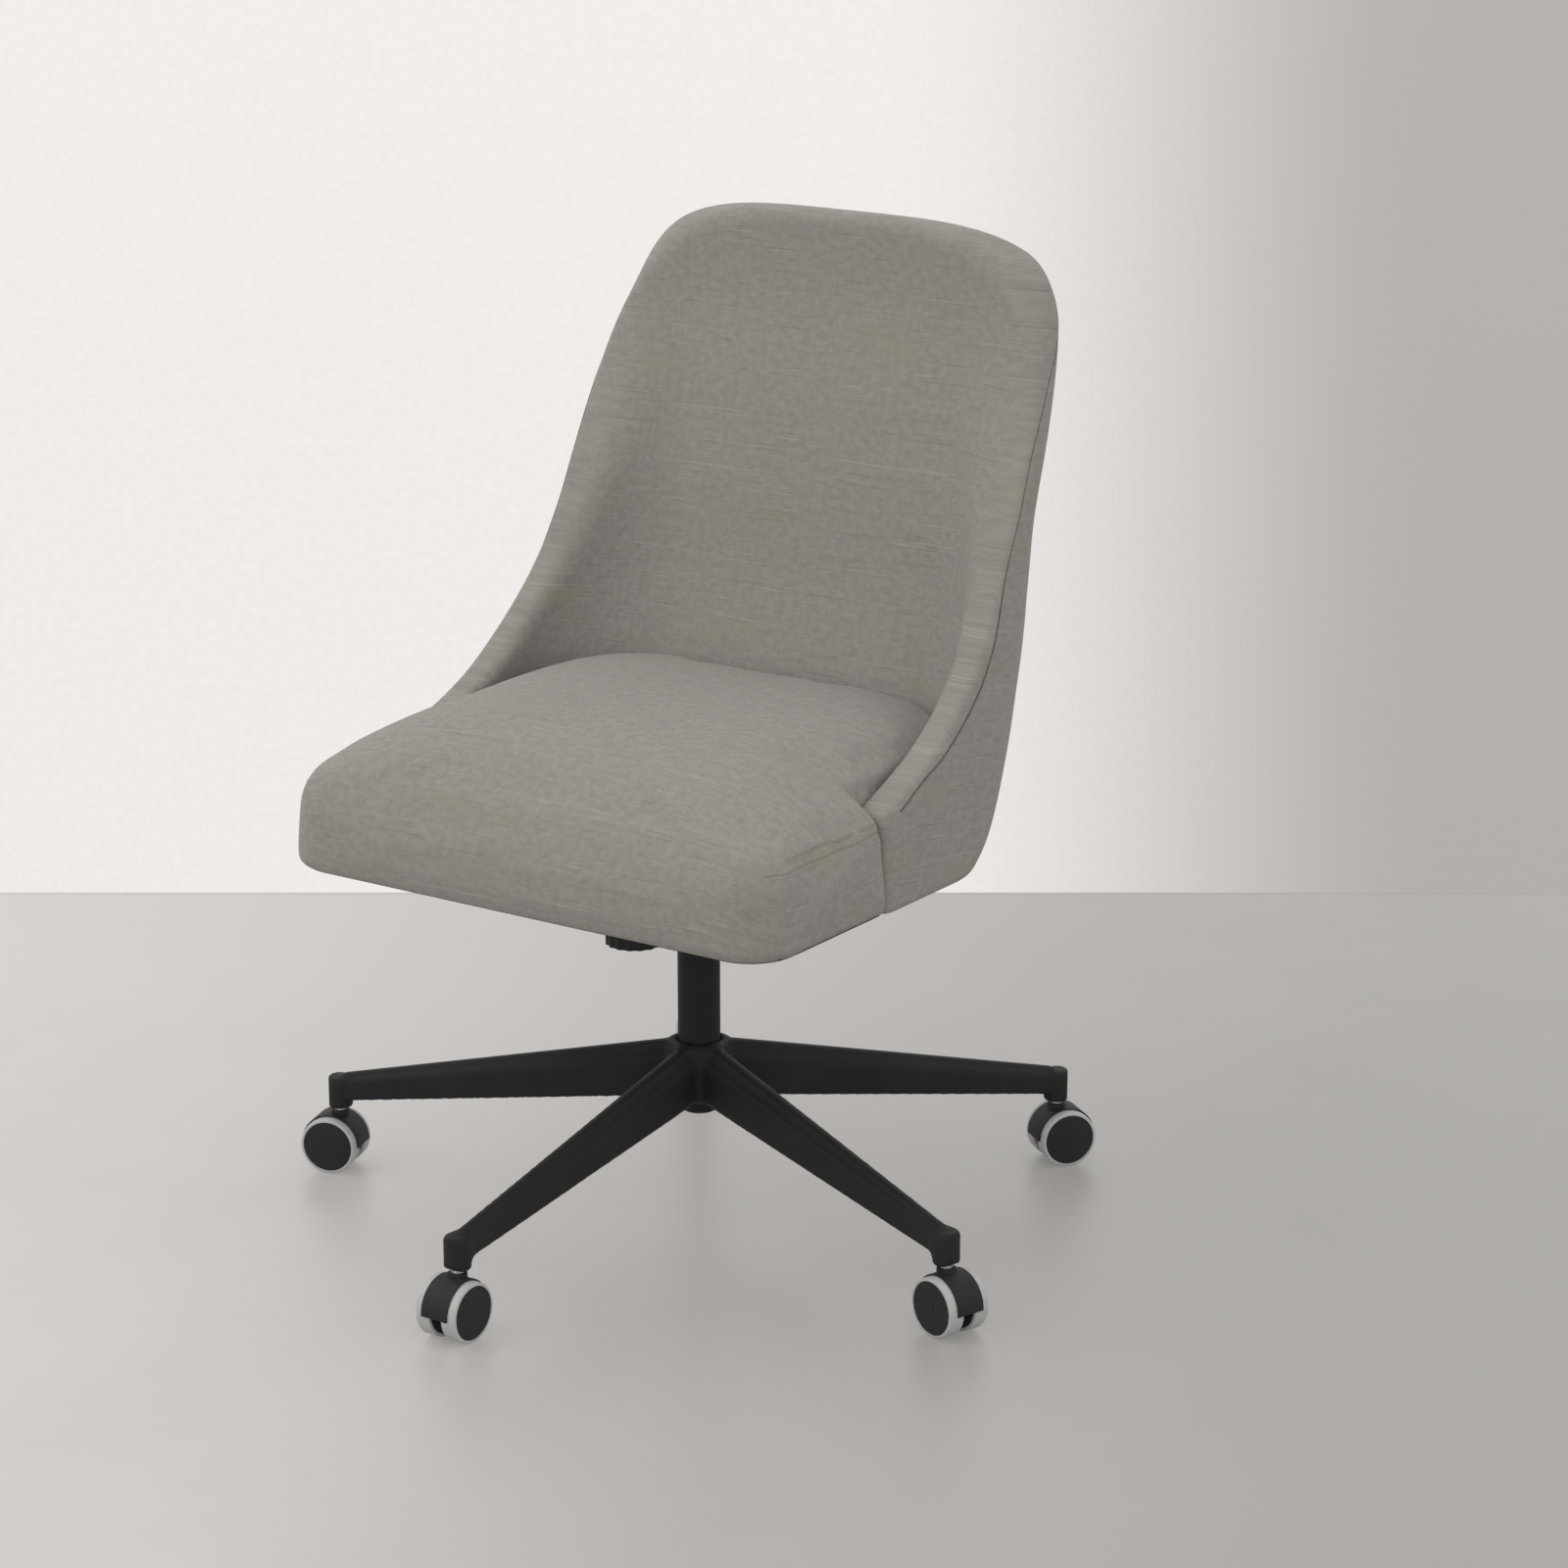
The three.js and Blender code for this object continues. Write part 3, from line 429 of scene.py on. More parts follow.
def net(field, low, high, step, near=None):
    """A net of four-sided faces over the surface of a shape, evenly spaced."""
    rows = [np.arange(a - 1.5 * step, b + 2.5 * step, step) for a, b in zip(low, high)]
    grid = np.meshgrid(*rows, indexing="ij")
    value = np.full(grid[0].shape, step * 3.0)
    wanted = np.ones(value.shape, bool) if near is None else near(*grid)
    value[wanted] = field(grid[0][wanted], grid[1][wanted], grid[2][wanted])
    inside = value < 0
    cells = tuple(n - 1 for n in value.shape)
    corners = [(a, b, c) for a in (0, 1) for b in (0, 1) for c in (0, 1)]

    def corner(array, spot):
        return array[spot[0]:spot[0] + cells[0], spot[1]:spot[1] + cells[1], spot[2]:spot[2] + cells[2]]
    count = sum(corner(inside, spot).astype(np.int8) for spot in corners)
    mixed = (count > 0) & (count < 8)
    number = np.full(cells, -1)
    number[mixed] = np.arange(mixed.sum())
    total = np.zeros((mixed.sum(), 3))
    hits = np.zeros(mixed.sum())
    base = np.stack(np.nonzero(mixed), 1)
    for start in corners:
        for axis in range(3):
            if start[axis]:
                continue
            end = list(start)
            end[axis] = 1
            here = corner(value, start)[mixed]
            there = corner(value, end)[mixed]
            cut = (here < 0) != (there < 0)
            share = np.where(cut, here / np.where(cut, here - there, 1), 0)
            spot = base + np.array(start, float)
            spot[:, axis] += share
            total[cut] += spot[cut]
            hits[cut] += 1
    points = total / hits[:, None] * step + np.array([row[0] for row in rows])
    faces = []
    for axis in range(3):
        one, two = [a for a in range(3) if a != axis]
        low_side = [slice(1, -1)] * 3
        low_side[axis] = slice(0, -1)
        high_side = list(low_side)
        high_side[axis] = slice(1, None)
        first, second = inside[tuple(low_side)], inside[tuple(high_side)]
        for starts_inside in (True, False):
            at = np.nonzero((first != second) & (first == starts_inside))
            spot = [a.copy() for a in at]
            spot[one] += 1
            spot[two] += 1
            quad = []
            for da, db in ((-1, -1), (0, -1), (0, 0), (-1, 0)):
                place = list(spot)
                place[one] = spot[one] + da
                place[two] = spot[two] + db
                quad.append(number[tuple(place)])
            quad = np.stack(quad, 1)
            if starts_inside == (axis == 1):
                quad = quad[:, ::-1]
            faces.append(quad)
    return points, np.concatenate(faces)


def evened(points, faces, field, rounds, most):
    """Spreads a net's points more evenly and puts them back on the surface."""
    ends = np.concatenate([faces[:, [i, (i + 1) % 4]] for i in range(4)])
    for _ in range(rounds):
        total = np.zeros_like(points)
        count = np.zeros(len(points))
        for a, b in ((0, 1), (1, 0)):
            np.add.at(total, ends[:, a], points[ends[:, b]])
            np.add.at(count, ends[:, a], 1)
        points = settle(field, points + 0.5 * (total / count[:, None] - points), 1, most)
    return settle(field, points, 2, most)


def placed(points):
    """Points in millimetres from the column's axis, in metres in the frame."""
    return (np.asarray(points, float) + (0, COLUMN_Y, 0)) * MM


def object_of(name, points, faces, smooth=True):
    mesh = bpy.data.meshes.new(name)
    mesh.from_pydata(placed(points).tolist(), [], np.asarray(faces).tolist())
    made = bpy.data.objects.new(name, mesh)
    bpy.context.collection.objects.link(made)
    mesh.polygons.foreach_set("use_smooth", [smooth] * len(mesh.polygons))
    return made


def points_of(made):
    flat = np.empty(len(made.data.vertices) * 3)
    made.data.vertices.foreach_get("co", flat)
    return flat.reshape(-1, 3) / MM - (0, COLUMN_Y, 0)


def move_points(made, points):
    made.data.vertices.foreach_set("co", placed(points).ravel())
    made.data.update()


# ---- Modelling helpers ----
def only(made):
    """Selects one object alone and makes it active."""
    bpy.ops.object.select_all(action="DESELECT")
    made.select_set(True)
    bpy.context.view_layer.objects.active = made
    return made


def modify(made, kind, **settings):
    only(made)
    modifier = made.modifiers.new(kind.title(), kind)
    for key, value in settings.items():
        setattr(modifier, key, value)
    bpy.ops.object.modifier_apply(modifier=modifier.name)


def at_origin(made):
    only(made)
    bpy.ops.object.transform_apply(location=True, rotation=True, scale=True)
    return made


def smooth_sides(made, degrees=35):
    only(made)
    bpy.ops.object.shade_smooth_by_angle(angle=math.radians(degrees))
    return made


def turned(name, outline, steps=64):
    """A ring of points turned to its profile, then spun about the Z axis. The outline is a closed row of
    radius and height in millimetres."""
    bpy.ops.object.select_all(action="DESELECT")
    bpy.ops.mesh.primitive_circle_add(vertices=len(outline), radius=0.01, fill_type="NOTHING")
    made = bpy.context.object
    made.name = made.data.name = name
    for vertex, (radius, height) in zip(made.data.vertices, outline):
        vertex.co = (radius * MM, 0, height * MM)
    bpy.ops.object.mode_set(mode="EDIT")
    bpy.ops.mesh.select_all(action="SELECT")
    bpy.ops.mesh.spin(steps=steps, angle=math.tau, center=(0, 0, 0), axis=(0, 0, 1))
    bpy.ops.mesh.select_all(action="SELECT")
    bpy.ops.mesh.remove_doubles(threshold=2e-6)
    bpy.ops.mesh.dissolve_degenerate(threshold=1e-6)
    bpy.ops.mesh.normals_make_consistent(inside=False)
    bpy.ops.object.mode_set(mode="OBJECT")
    return made


def rounded(outline, corners, pieces=3):
    """A closed outline with some of its corners rounded: {index: radius}."""
    result = []
    for i, spot in enumerate(outline):
        radius = corners.get(i, 0)
        here = np.array(spot, float)
        if not radius:
            result.append(tuple(here))
            continue
        before = np.array(outline[i - 1], float) - here
        after = np.array(outline[(i + 1) % len(outline)], float) - here
        before /= np.linalg.norm(before)
        after /= np.linalg.norm(after)
        start, end = here + before * radius, here + after * radius
        for step in range(pieces + 1):
            t = step / pieces
            result.append(tuple((1 - t) ** 2 * start + 2 * t * (1 - t) * here + t ** 2 * end))
    return result


def block(name, low, high):
    bpy.ops.object.select_all(action="DESELECT")
    middle = [(a + b) / 2 * MM for a, b in zip(low, high)]
    bpy.ops.mesh.primitive_cube_add(size=1, location=middle)
    made = bpy.context.object
    made.name = made.data.name = name
    made.scale = [(b - a) * MM for a, b in zip(low, high)]
    return at_origin(made)


def combine(made, other, operation):
    modify(made, "BOOLEAN", operation=operation, object=other, solver="EXACT")
    bpy.data.objects.remove(other)
    return made


def moved(made, matrix):
    made.data.transform(matrix)
    made.data.update()
    return made


def copy_of(made, name, matrix=None):
    twin = made.copy()
    twin.data = made.data.copy()
    twin.name = twin.data.name = name
    bpy.context.collection.objects.link(twin)
    if matrix is not None:
        moved(twin, matrix)
    return twin


def refined(name, node, bevel):
    """A copy of a CAD node with its flat faces joined and its edges broken by a small bevel."""
    source = frame["nodes"][node]
    made = bpy.data.objects.new(name, source.data.copy())
    bpy.context.collection.objects.link(made)
    made.data.materials.clear()
    only(made)
    bpy.ops.object.mode_set(mode="EDIT")
    bpy.ops.mesh.select_all(action="SELECT")
    bpy.ops.mesh.remove_doubles(threshold=1e-6)
    bpy.ops.mesh.dissolve_limited(angle_limit=math.radians(1))
    bpy.ops.object.mode_set(mode="OBJECT")
    modify(made, "BEVEL", width=bevel * MM, segments=2, limit_method="ANGLE", angle_limit=math.radians(30),
           use_clamp_overlap=True, miter_outer="MITER_ARC")
    return smooth_sides(made)


def thread(name, path, radius, sides=6):
    """A thin round thread along a path in millimetres, with one radius or one for each point."""
    path = np.asarray(path, float)
    radius = np.broadcast_to(radius, len(path))
    ahead = np.gradient(path, axis=0)
    ahead /= np.linalg.norm(ahead, axis=1)[:, None]
    side = np.cross(ahead, (0.31, 0.22, 0.92))
    side /= np.linalg.norm(side, axis=1)[:, None]
    up = np.cross(ahead, side)
    points, faces = [], []
    for i in range(len(path)):
        for k in range(sides):
            angle = math.tau * k / sides
            points.append(path[i] + radius[i] * (math.cos(angle) * side[i] + math.sin(angle) * up[i]))
    for i in range(len(path) - 1):
        for k in range(sides):
            after = (k + 1) % sides
            faces.append((i * sides + k, i * sides + after, (i + 1) * sides + after, (i + 1) * sides + k))
    last = (len(path) - 1) * sides
    faces.append(tuple(range(sides - 1, -1, -1)))
    faces.append(tuple(last + k for k in range(sides)))
    mesh = bpy.data.meshes.new(name)
    mesh.from_pydata(placed(points).tolist(), [], faces)
    made = bpy.data.objects.new(name, mesh)
    bpy.context.collection.objects.link(made)
    only(made)
    bpy.ops.object.mode_set(mode="EDIT")
    bpy.ops.mesh.select_all(action="SELECT")
    bpy.ops.mesh.normals_make_consistent(inside=False)
    bpy.ops.object.mode_set(mode="OBJECT")
    mesh.polygons.foreach_set("use_smooth", [True] * len(mesh.polygons))
    return made


# ---- Finishes ----
class Wire:
    """A shader socket that can stand in a sum."""

    def __init__(self, finish, socket):
        self.finish = finish
        self.socket = socket

    def sum(self, operation, *values):
        node = self.finish.node("ShaderNodeMath", {"operation": operation}, dict(enumerate(values)))
        return Wire(self.finish, node.outputs[0])

    def __add__(self, other):
        return self.sum("ADD", self, other)

    def __sub__(self, other):
        return self.sum("SUBTRACT", self, other)

    def __mul__(self, other):
        return self.sum("MULTIPLY", self, other)

    def __rsub__(self, other):
        return self.sum("SUBTRACT", other, self)

    def __truediv__(self, other):
        return self.sum("DIVIDE", self, other)

    __radd__ = __add__
    __rmul__ = __mul__

    def wave(self, period):
        """A sine of this value, with the given period."""
        return self.sum("SINE", self * (math.tau / period))

    def between(self, low, high):
        """Nought below low, one above high, smooth in between."""
        node = self.finish.node("ShaderNodeMapRange", {"interpolation_type": "SMOOTHSTEP"},
                                {"Value": self, "From Min": low, "From Max": high})
        return Wire(self.finish, node.outputs["Result"])


class Finish:
    """A material on one Principled shader."""

    def __init__(self, name, **fixed):
        self.material = bpy.data.materials.new(name)
        self.material.use_nodes = True
        self.tree = self.material.node_tree
        self.shader = self.tree.nodes["Principled BSDF"]
        for key, value in fixed.items():
            self.set(self.shader, key.replace("_", " ").title().replace("Ior", "IOR"), value)

    def set(self, node, key, value):
        socket = node.inputs[key]
        if isinstance(value, Wire):
            self.tree.links.new(value.socket, socket)
        elif hasattr(value, "__len__") and len(value) == 3 and len(getattr(socket, "default_value", ())) == 4:
            socket.default_value = (*value, 1)
        else:
            socket.default_value = value

    def node(self, kind, settings=None, values=None):
        node = self.tree.nodes.new(kind)
        for key, value in (settings or {}).items():
            setattr(node, key, value)
        for key, value in (values or {}).items():
            self.set(node, key, value)
        return node

    def place(self, kind="Object"):
        return Wire(self, self.node("ShaderNodeTexCoord").outputs[kind])

    def axes(self, vector):
        node = self.node("ShaderNodeSeparateXYZ", None, {0: vector})
        return [Wire(self, node.outputs[i]) for i in range(3)]

    def point(self, x, y, z=0.0):
        return Wire(self, self.node("ShaderNodeCombineXYZ", None, {0: x, 1: y, 2: z}).outputs[0])

    def noise(self, vector, scale=1.0, detail=2.0, roughness=0.5):
        node = self.node("ShaderNodeTexNoise", None, {"Vector": vector, "Scale": scale, "Detail": detail,
                                                      "Roughness": roughness})
        return Wire(self, node.outputs["Fac"])

    def mix(self, share, first, second, blend="MIX"):
        node = self.node("ShaderNodeMix", {"data_type": "RGBA", "blend_type": blend}, {0: share})
        self.set(node, 6, first)
        self.set(node, 7, second)
        return Wire(self, node.outputs[2])

    def bump(self, height, distance, strength=1.0):
        values = {"Height": height, "Distance": distance, "Strength": strength}
        node = self.node("ShaderNodeBump", None, values)
        self.set(self.shader, "Normal", Wire(self, node.outputs["Normal"]))

    def wear(self, base, change, vector, scale):
        """Base colour and roughness drift a little over the surface."""
        drift = self.noise(vector, scale, 4.0)
        self.set(self.shader, "Base Color", self.mix(drift.between(0.3, 0.7), base, change))
        return drift


def scaled(rgb, share):
    return tuple(min(1.0, channel * share) for channel in rgb)


def linen(colours):
    """Slubby linen: a fine plain weave with long uneven threads along the weft."""
    made = Finish("linen", roughness=0.92, sheen_weight=0.12, sheen_roughness=0.5, specular_ior_level=0.25)
    across, up, _ = made.axes(made.place("UV"))
    sway = made.noise(made.point(across * 9, up * 9), 1.0, 2.0)
    run = up + sway * 0.004
    lean = across + made.noise(made.point(across * 7, up * 7, 3.0), 1.0, 2.0) * 0.004
    weave = run.wave(0.0017) * lean.wave(0.0017)
    slub = made.noise(made.point(across * 13, run * 560), 1.0, 2.0, 0.6)
    long_slub = made.noise(made.point(across * 5, run * 250, 7.0), 1.0, 2.0, 0.5)
    warp = made.noise(made.point(lean * 620, up * 22, 11.0), 1.0, 2.0, 0.55)
    raised = slub.between(0.60, 0.74)
    ridge = long_slub.between(0.62, 0.72)
    sunk = 1 - slub.between(0.28, 0.42)
    patch = made.noise(made.point(across * 10, up * 26, 5.0), 1.0, 3.0, 0.5).between(0.57, 0.72)
    tone = made.noise(made.point(across * 120, up * 160, 2.0), 1.0, 3.0, 0.6)
    cloth = made.mix(tone.between(0.3, 0.7), scaled(colours.linen, 0.90), scaled(colours.linen, 1.08))
    # warp streaks, raised slubs and long ridges: the threads' own uneven tone with a painted highlight where
    # they stand up; sunk threads: painted shade between them
    cloth = made.mix(warp.between(0.45, 0.75) * 0.30, cloth, scaled(colours.linen, 1.22))
    cloth = made.mix(raised * 0.55, cloth, scaled(colours.linen, 1.50))
    cloth = made.mix(ridge * 0.36, cloth, scaled(colours.linen, 1.42))
    cloth = made.mix(sunk * 0.42, cloth, scaled(colours.linen, 0.60))
    olive = (colours.linen[0] * 1.04, colours.linen[1] * 1.03, colours.linen[2] * 0.80)
    cloth = made.mix(patch * 0.40, cloth, olive)
    made.set(made.shader, "Base Color", cloth)
    made.set(made.shader, "Roughness", 0.95 - raised * 0.10)
    height = weave * 0.22 + raised * 0.75 + ridge * 0.55 + warp * 0.35 - sunk * 0.30
    made.bump(height, 0.00045, 0.75)
    return made.material


def seam_shadow_line(colours):
    # painted shade: the seam line's dark colour stands for the shade in the seam's groove
    made = Finish("seam_shadow_line", roughness=0.95)
    made.wear(colours.seam, scaled(colours.seam, 1.6), made.place(), 300)
    return made.material


def pale_seam_shade(colours):
    # painted shade: a darker linen-coloured line for the groove of the seat's side seams
    made = Finish("pale_seam_shade", roughness=0.95)
    made.wear(scaled(colours.linen, 0.62), scaled(colours.linen, 0.85), made.place(), 300)
    return made.material


def powder_coat(colours):
    """Satin powder coat with a very fine orange peel."""
    made = Finish("powder_coat", specular_ior_level=0.13)
    spot = made.place()
    drift = made.wear(colours.casting, scaled(colours.casting, 1.22), spot, 14)
    made.set(made.shader, "Roughness", drift * 0.10 + 0.52)
    made.bump(made.noise(spot, 1100, 3.0), 0.00012, 0.5)
    return made.material


def moulded(colours, name="moulded_nylon", roughness=0.52):
    """Spark-eroded moulded nylon."""
    made = Finish(name, specular_ior_level=0.22)
    spot = made.place()
    drift = made.wear(colours.nylon, scaled(colours.nylon, 1.25), spot, 30)
    made.set(made.shader, "Roughness", drift * 0.12 + roughness)
    made.bump(made.noise(spot, 2200, 2.0), 0.00010, 0.5)
    return made.material


def soft_tread(colours):
    """Cast polyurethane with a little floor dust."""
    made = Finish("soft_tread", specular_ior_level=0.4)
    spot = made.place()
    dust = made.noise(spot, 90, 5.0, 0.65)
    made.set(made.shader, "Base Color", made.mix(dust.between(0.45, 0.8) * 0.5, colours.tread,
                                                 scaled(colours.tread, 0.78)))
    made.set(made.shader, "Roughness", dust * 0.15 + 0.48)
    made.bump(dust, 0.0001, 0.4)
    return made.material


def plated(colours):
    """Zinc-plated steel with turning marks."""
    made = Finish("plated_steel", metallic=1.0)
    x, y, z = made.axes(made.place())
    marks = made.noise(made.point(x * 60, y * 60, z * 3000), 1.0, 2.0)
    made.set(made.shader, "Base Color", made.mix(marks, scaled(colours.steel, 0.85), colours.steel))
    made.set(made.shader, "Roughness", marks * 0.15 + 0.22)
    made.bump(marks, 0.00003, 0.4)
    return made.material


def coated_steel(colours):
    """Pressed steel under black electro-coat."""
    made = Finish("coated_steel", metallic=0.25, specular_ior_level=0.45)
    spot = made.place()
    drift = made.wear(colours.dark_steel, scaled(colours.dark_steel, 1.5), spot, 40)
    made.set(made.shader, "Roughness", drift * 0.18 + 0.34)
    made.bump(made.noise(spot, 700, 3.0), 0.0001, 0.4)
    return made.material


def birch(colours):
    """Birch plywood: grain on the faces and dark glue lines round the edges."""
    made = Finish("birch_plywood", roughness=0.7)
    x, y, z = made.axes(made.place())
    grain = made.noise(made.point(x * 14, y * 260, z * 14), 1.0, 4.0, 0.6)
    plies = z.wave(0.003).between(0.2, 0.9)
    face = made.mix(grain.between(0.3, 0.7), scaled(colours.plywood, 0.72), scaled(colours.plywood, 1.12))
    made.set(made.shader, "Base Color", made.mix(plies * 0.25, face, scaled(colours.plywood, 0.5)))
    made.bump(grain, 0.0002, 0.4)
    return made.material


def non_woven(colours):
    made = Finish("dust_cloth", roughness=0.97, sheen_weight=0.1)
    spot = made.place()
    fibre = made.noise(spot, 900, 4.0, 0.7)
    made.set(made.shader, "Base Color", made.mix(fibre, scaled(colours.dust_cloth, 0.6),
                                                 scaled(colours.dust_cloth, 2.0)))
    made.bump(fibre, 0.0004, 0.6)
    return made.material


def room(colours, eye, way, reach):
    """Polished concrete, half of its tone self-lit, with painted shade towards the right and along the wall
    line; beyond that line, painted plaster that glows with its own light, with painted shade on its right
    side.
    """
    made = Finish("concrete_and_plaster_glow_and_painted_shade", specular_ior_level=0.45, emission_strength=1.0)
    spot = made.place()
    x, y, _ = made.axes(spot)
    ahead = (x - eye.x) * way.x + (y - eye.y) * way.y
    aside = (x - eye.x) * way.y - (y - eye.y) * way.x
    # how far to the right and how high a place looks from the room's open side
    level, drop = math.cos(math.radians(LOOK_DOWN)), math.sin(math.radians(LOOK_DOWN))
    depth = ahead * level + eye.z * drop
    bearing = aside / depth
    height = (ahead * drop - eye.z * level) / depth
    shade = bearing.between(0.02, 0.155)
    # beyond the line the plaster glows as a self-lit wall, and painted shade darkens its right side
    wall = ahead.between(reach - 0.001, reach + 0.001)
    # painted shade in the corner along the wall's foot
    foot = ahead.between(reach - 0.012, reach) * (1 - wall)
    cloud = made.noise(spot, 1.1, 5.0, 0.6)
    blotch = made.noise(spot, 5.0, 7.0, 0.62)
    scratch = made.noise(made.point(x * 2.2, y * 7.0, 4.0), 1.0, 9.0, 0.74)
    pits = made.noise(spot, 70.0, 3.0, 0.6)
    concrete = made.mix(cloud.between(0.3, 0.7), scaled(colours.floor, 0.95), scaled(colours.floor, 1.03))
    concrete = made.mix(blotch.between(0.35, 0.75), concrete, scaled(colours.floor, 1.05))
    scuffs = scratch.between(0.60, 0.70) * blotch.between(0.52, 0.62)
    concrete = made.mix(scuffs * 0.40, concrete, scaled(colours.floor, 1.30))
    concrete = made.mix(pits.between(0.66, 0.72) * 0.15, concrete, scaled(colours.floor, 0.8))
    # painted shade: the concrete darkens towards the right, as the light falls off
    painted_falloff_shade = bearing.between(-0.24, 0.17)
    concrete = made.mix(painted_falloff_shade, concrete, scaled(colours.floor, 0.60))
    concrete = made.mix(foot * 0.35, concrete, scaled(colours.floor, 0.45))
    trowelled = made.noise(made.point(bearing * 600, height * 600), 1.0, 5.0, 0.6).between(0.35, 0.65)
    plaster = made.mix(shade, colours.wall, colours.wall_shade)
    plaster = made.mix(trowelled * 0.07, plaster, scaled(colours.wall_shade, 1.1))
    # half of the concrete's tone glows as self-lit light, which lifts the shade under the chair
    half_self_lit_concrete = made.mix(0.5, concrete, (0.0, 0.0, 0.0))
    made.set(made.shader, "Base Color", made.mix(wall, half_self_lit_concrete, (0.0, 0.0, 0.0)))
    made.set(made.shader, "Emission Color", made.mix(wall, half_self_lit_concrete, plaster))
    made.set(made.shader, "Roughness", (blotch * 0.16 + 0.30) * (1 - wall) + wall)
    made.bump(blotch * 0.4 + pits * 0.2, 0.0003, 0.12)
    return made.material


def wears(made, material):
    made.data.materials.clear()
    made.data.materials.append(material)
    return made


def joins(made, body, slot, *nodes):
    """The finished piece rides on a body and stands for its CAD nodes."""
    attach(made, body)
    if nodes:
        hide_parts(*nodes)
    return made


finishes = {}


def finish(kind):
    """A finish, made the first time that it is asked for."""
    makers = {"linen": linen, "seam": seam_shadow_line, "pale_seam_shade": pale_seam_shade, "casting": powder_coat,
              "nylon": moulded, "tread": soft_tread, "steel": plated, "dark_steel": coated_steel,
              "plywood": birch, "dust_cloth": non_woven}
    if kind not in finishes:
        finishes[kind] = makers[kind](bpy.context.scene.chair_colours)
    return finishes[kind]


# ---- Weave coordinates: along the thread, then across it, in metres ----
def lay_weave(made, spots):
    """spots gives each face corner's place on the cloth."""
    layer = made.data.uv_layers.new(name="weave")
    layer.data.foreach_set("uv", np.asarray(spots, np.float32).ravel())


def corner_vertices(made):
    order = np.empty(len(made.data.loops), np.int32)
    made.data.loops.foreach_get("vertex_index", order)
    return order


def face_normals(made):
    flat = np.empty(len(made.data.polygons) * 3)
    made.data.polygons.foreach_get("normal", flat)
    totals = np.empty(len(made.data.polygons), np.int32)
    made.data.polygons.foreach_get("loop_total", totals)
    return np.repeat(flat.reshape(-1, 3), totals, 0)


def weave_on_shell(made):
    x, y, z = points_of(made).T
    corner = 82.0
    half, rear = half_width_at(z) - 15, rear_at(z) - 24
    reach, start = half - corner, rear - corner
    angle = np.arctan2(np.maximum(np.abs(x) - reach, 0), np.maximum(y - start, 1e-6))
    along = np.where(y < start, reach + corner * math.pi / 2 + (start - y),
                     np.where(np.abs(x) < reach, np.abs(x), reach + corner * angle))
    spots = np.stack([np.sign(x) * along, z + 0.15 * y], 1) * MM
    lay_weave(made, spots[corner_vertices(made)])


def weave_on_seat(made, sizes):
    points = points_of(made)
    x, y, z = points.T
    top = crown_top(x, y, sizes)
    flat = np.stack([x, y - (top - z) * (y < SLIT_Y - 30)], 1)
    side = np.stack([y, z], 1)
    order = corner_vertices(made)
    steep = np.abs(face_normals(made)[:, 0]) > 0.80
    below = z[order] < SEAT_BOTTOM + sizes.seat_side / MM + 2
    lay_weave(made, np.where((steep & below)[:, None], side[order], flat[order]) * MM)


# ---- Operators ----
class CHAIR_OT_shell(bpy.types.Operator):
    """Upholstered shell: wings, backrest and the seam along its outer edge, drawn as a dark thread of painted
    shade
    """
    bl_idname = "chair.shell"
    bl_label = "Upholstered shell"

    def execute(self, context):
        sizes = context.scene.chair_sizes
        field = shell_field(sizes)
        step = sizes.cloth_mesh / MM
        low = (-HALF_WIDTH, SLIT_Y, SEAT_BOTTOM)
        high = (HALF_WIDTH, rear_at_heights.max(), SHELL_TOP)
        points, faces = net(field, low, high, step)
        points = evened(settle(field, points, 3, step / 2), faces, field, 3, step / 3)
        shell = object_of("back_upholstery", points, faces)
        weave_on_shell(shell)
        wears(shell, finish("linen"))
        joins(shell, "seat", "seat_fabric", "back_cover", "back_frame", "back_pad")
        # the outer seam's line is a dark thread of painted shade
        joins(wears(self.outer_seam(sizes, field), finish("seam")), "seat", "seat_fabric")
        return {"FINISHED"}

    def outer_seam(self, sizes, field):
        """A dark thread of painted shade for the seam's groove: up one wing, over the top and down the other,
        on the outside of the shell.
        """
        wing = [(HALF_WIDTH, y, z) for y, z in [(-62, 410), (-28, 427), (8, 442), (58, 478), (84, 514),
                                                (104, 562), (128, 612), (150, 664)]]
        arch = []
        for x in np.linspace(TOP_HALF - 18, 0, 10):
            z = float(top_height(x, 230, 9))
            corner = float(corner_at(z, sizes.outer_corner, sizes))
            past = max(0.0, x - (float(half_width_at(z)) - corner))
            arch.append((x, float(rear_at(z)) - corner + math.sqrt(corner ** 2 - past ** 2), z))
        right = wing + arch
        stops = right + [(-x, y, z) for x, y, z in right[-2::-1]]
        path = settle(field, smooth_line(stops, 12), 6, 4)
        outward = slopes(field, path)
        path = path + outward / np.linalg.norm(outward, axis=1)[:, None] * 0.15
        thickness = sizes.seam_thread / MM * (1 - 0.55 * ease(path[:, 2], 520, 600))
        return thread("back_seam_shadow", path, thickness)


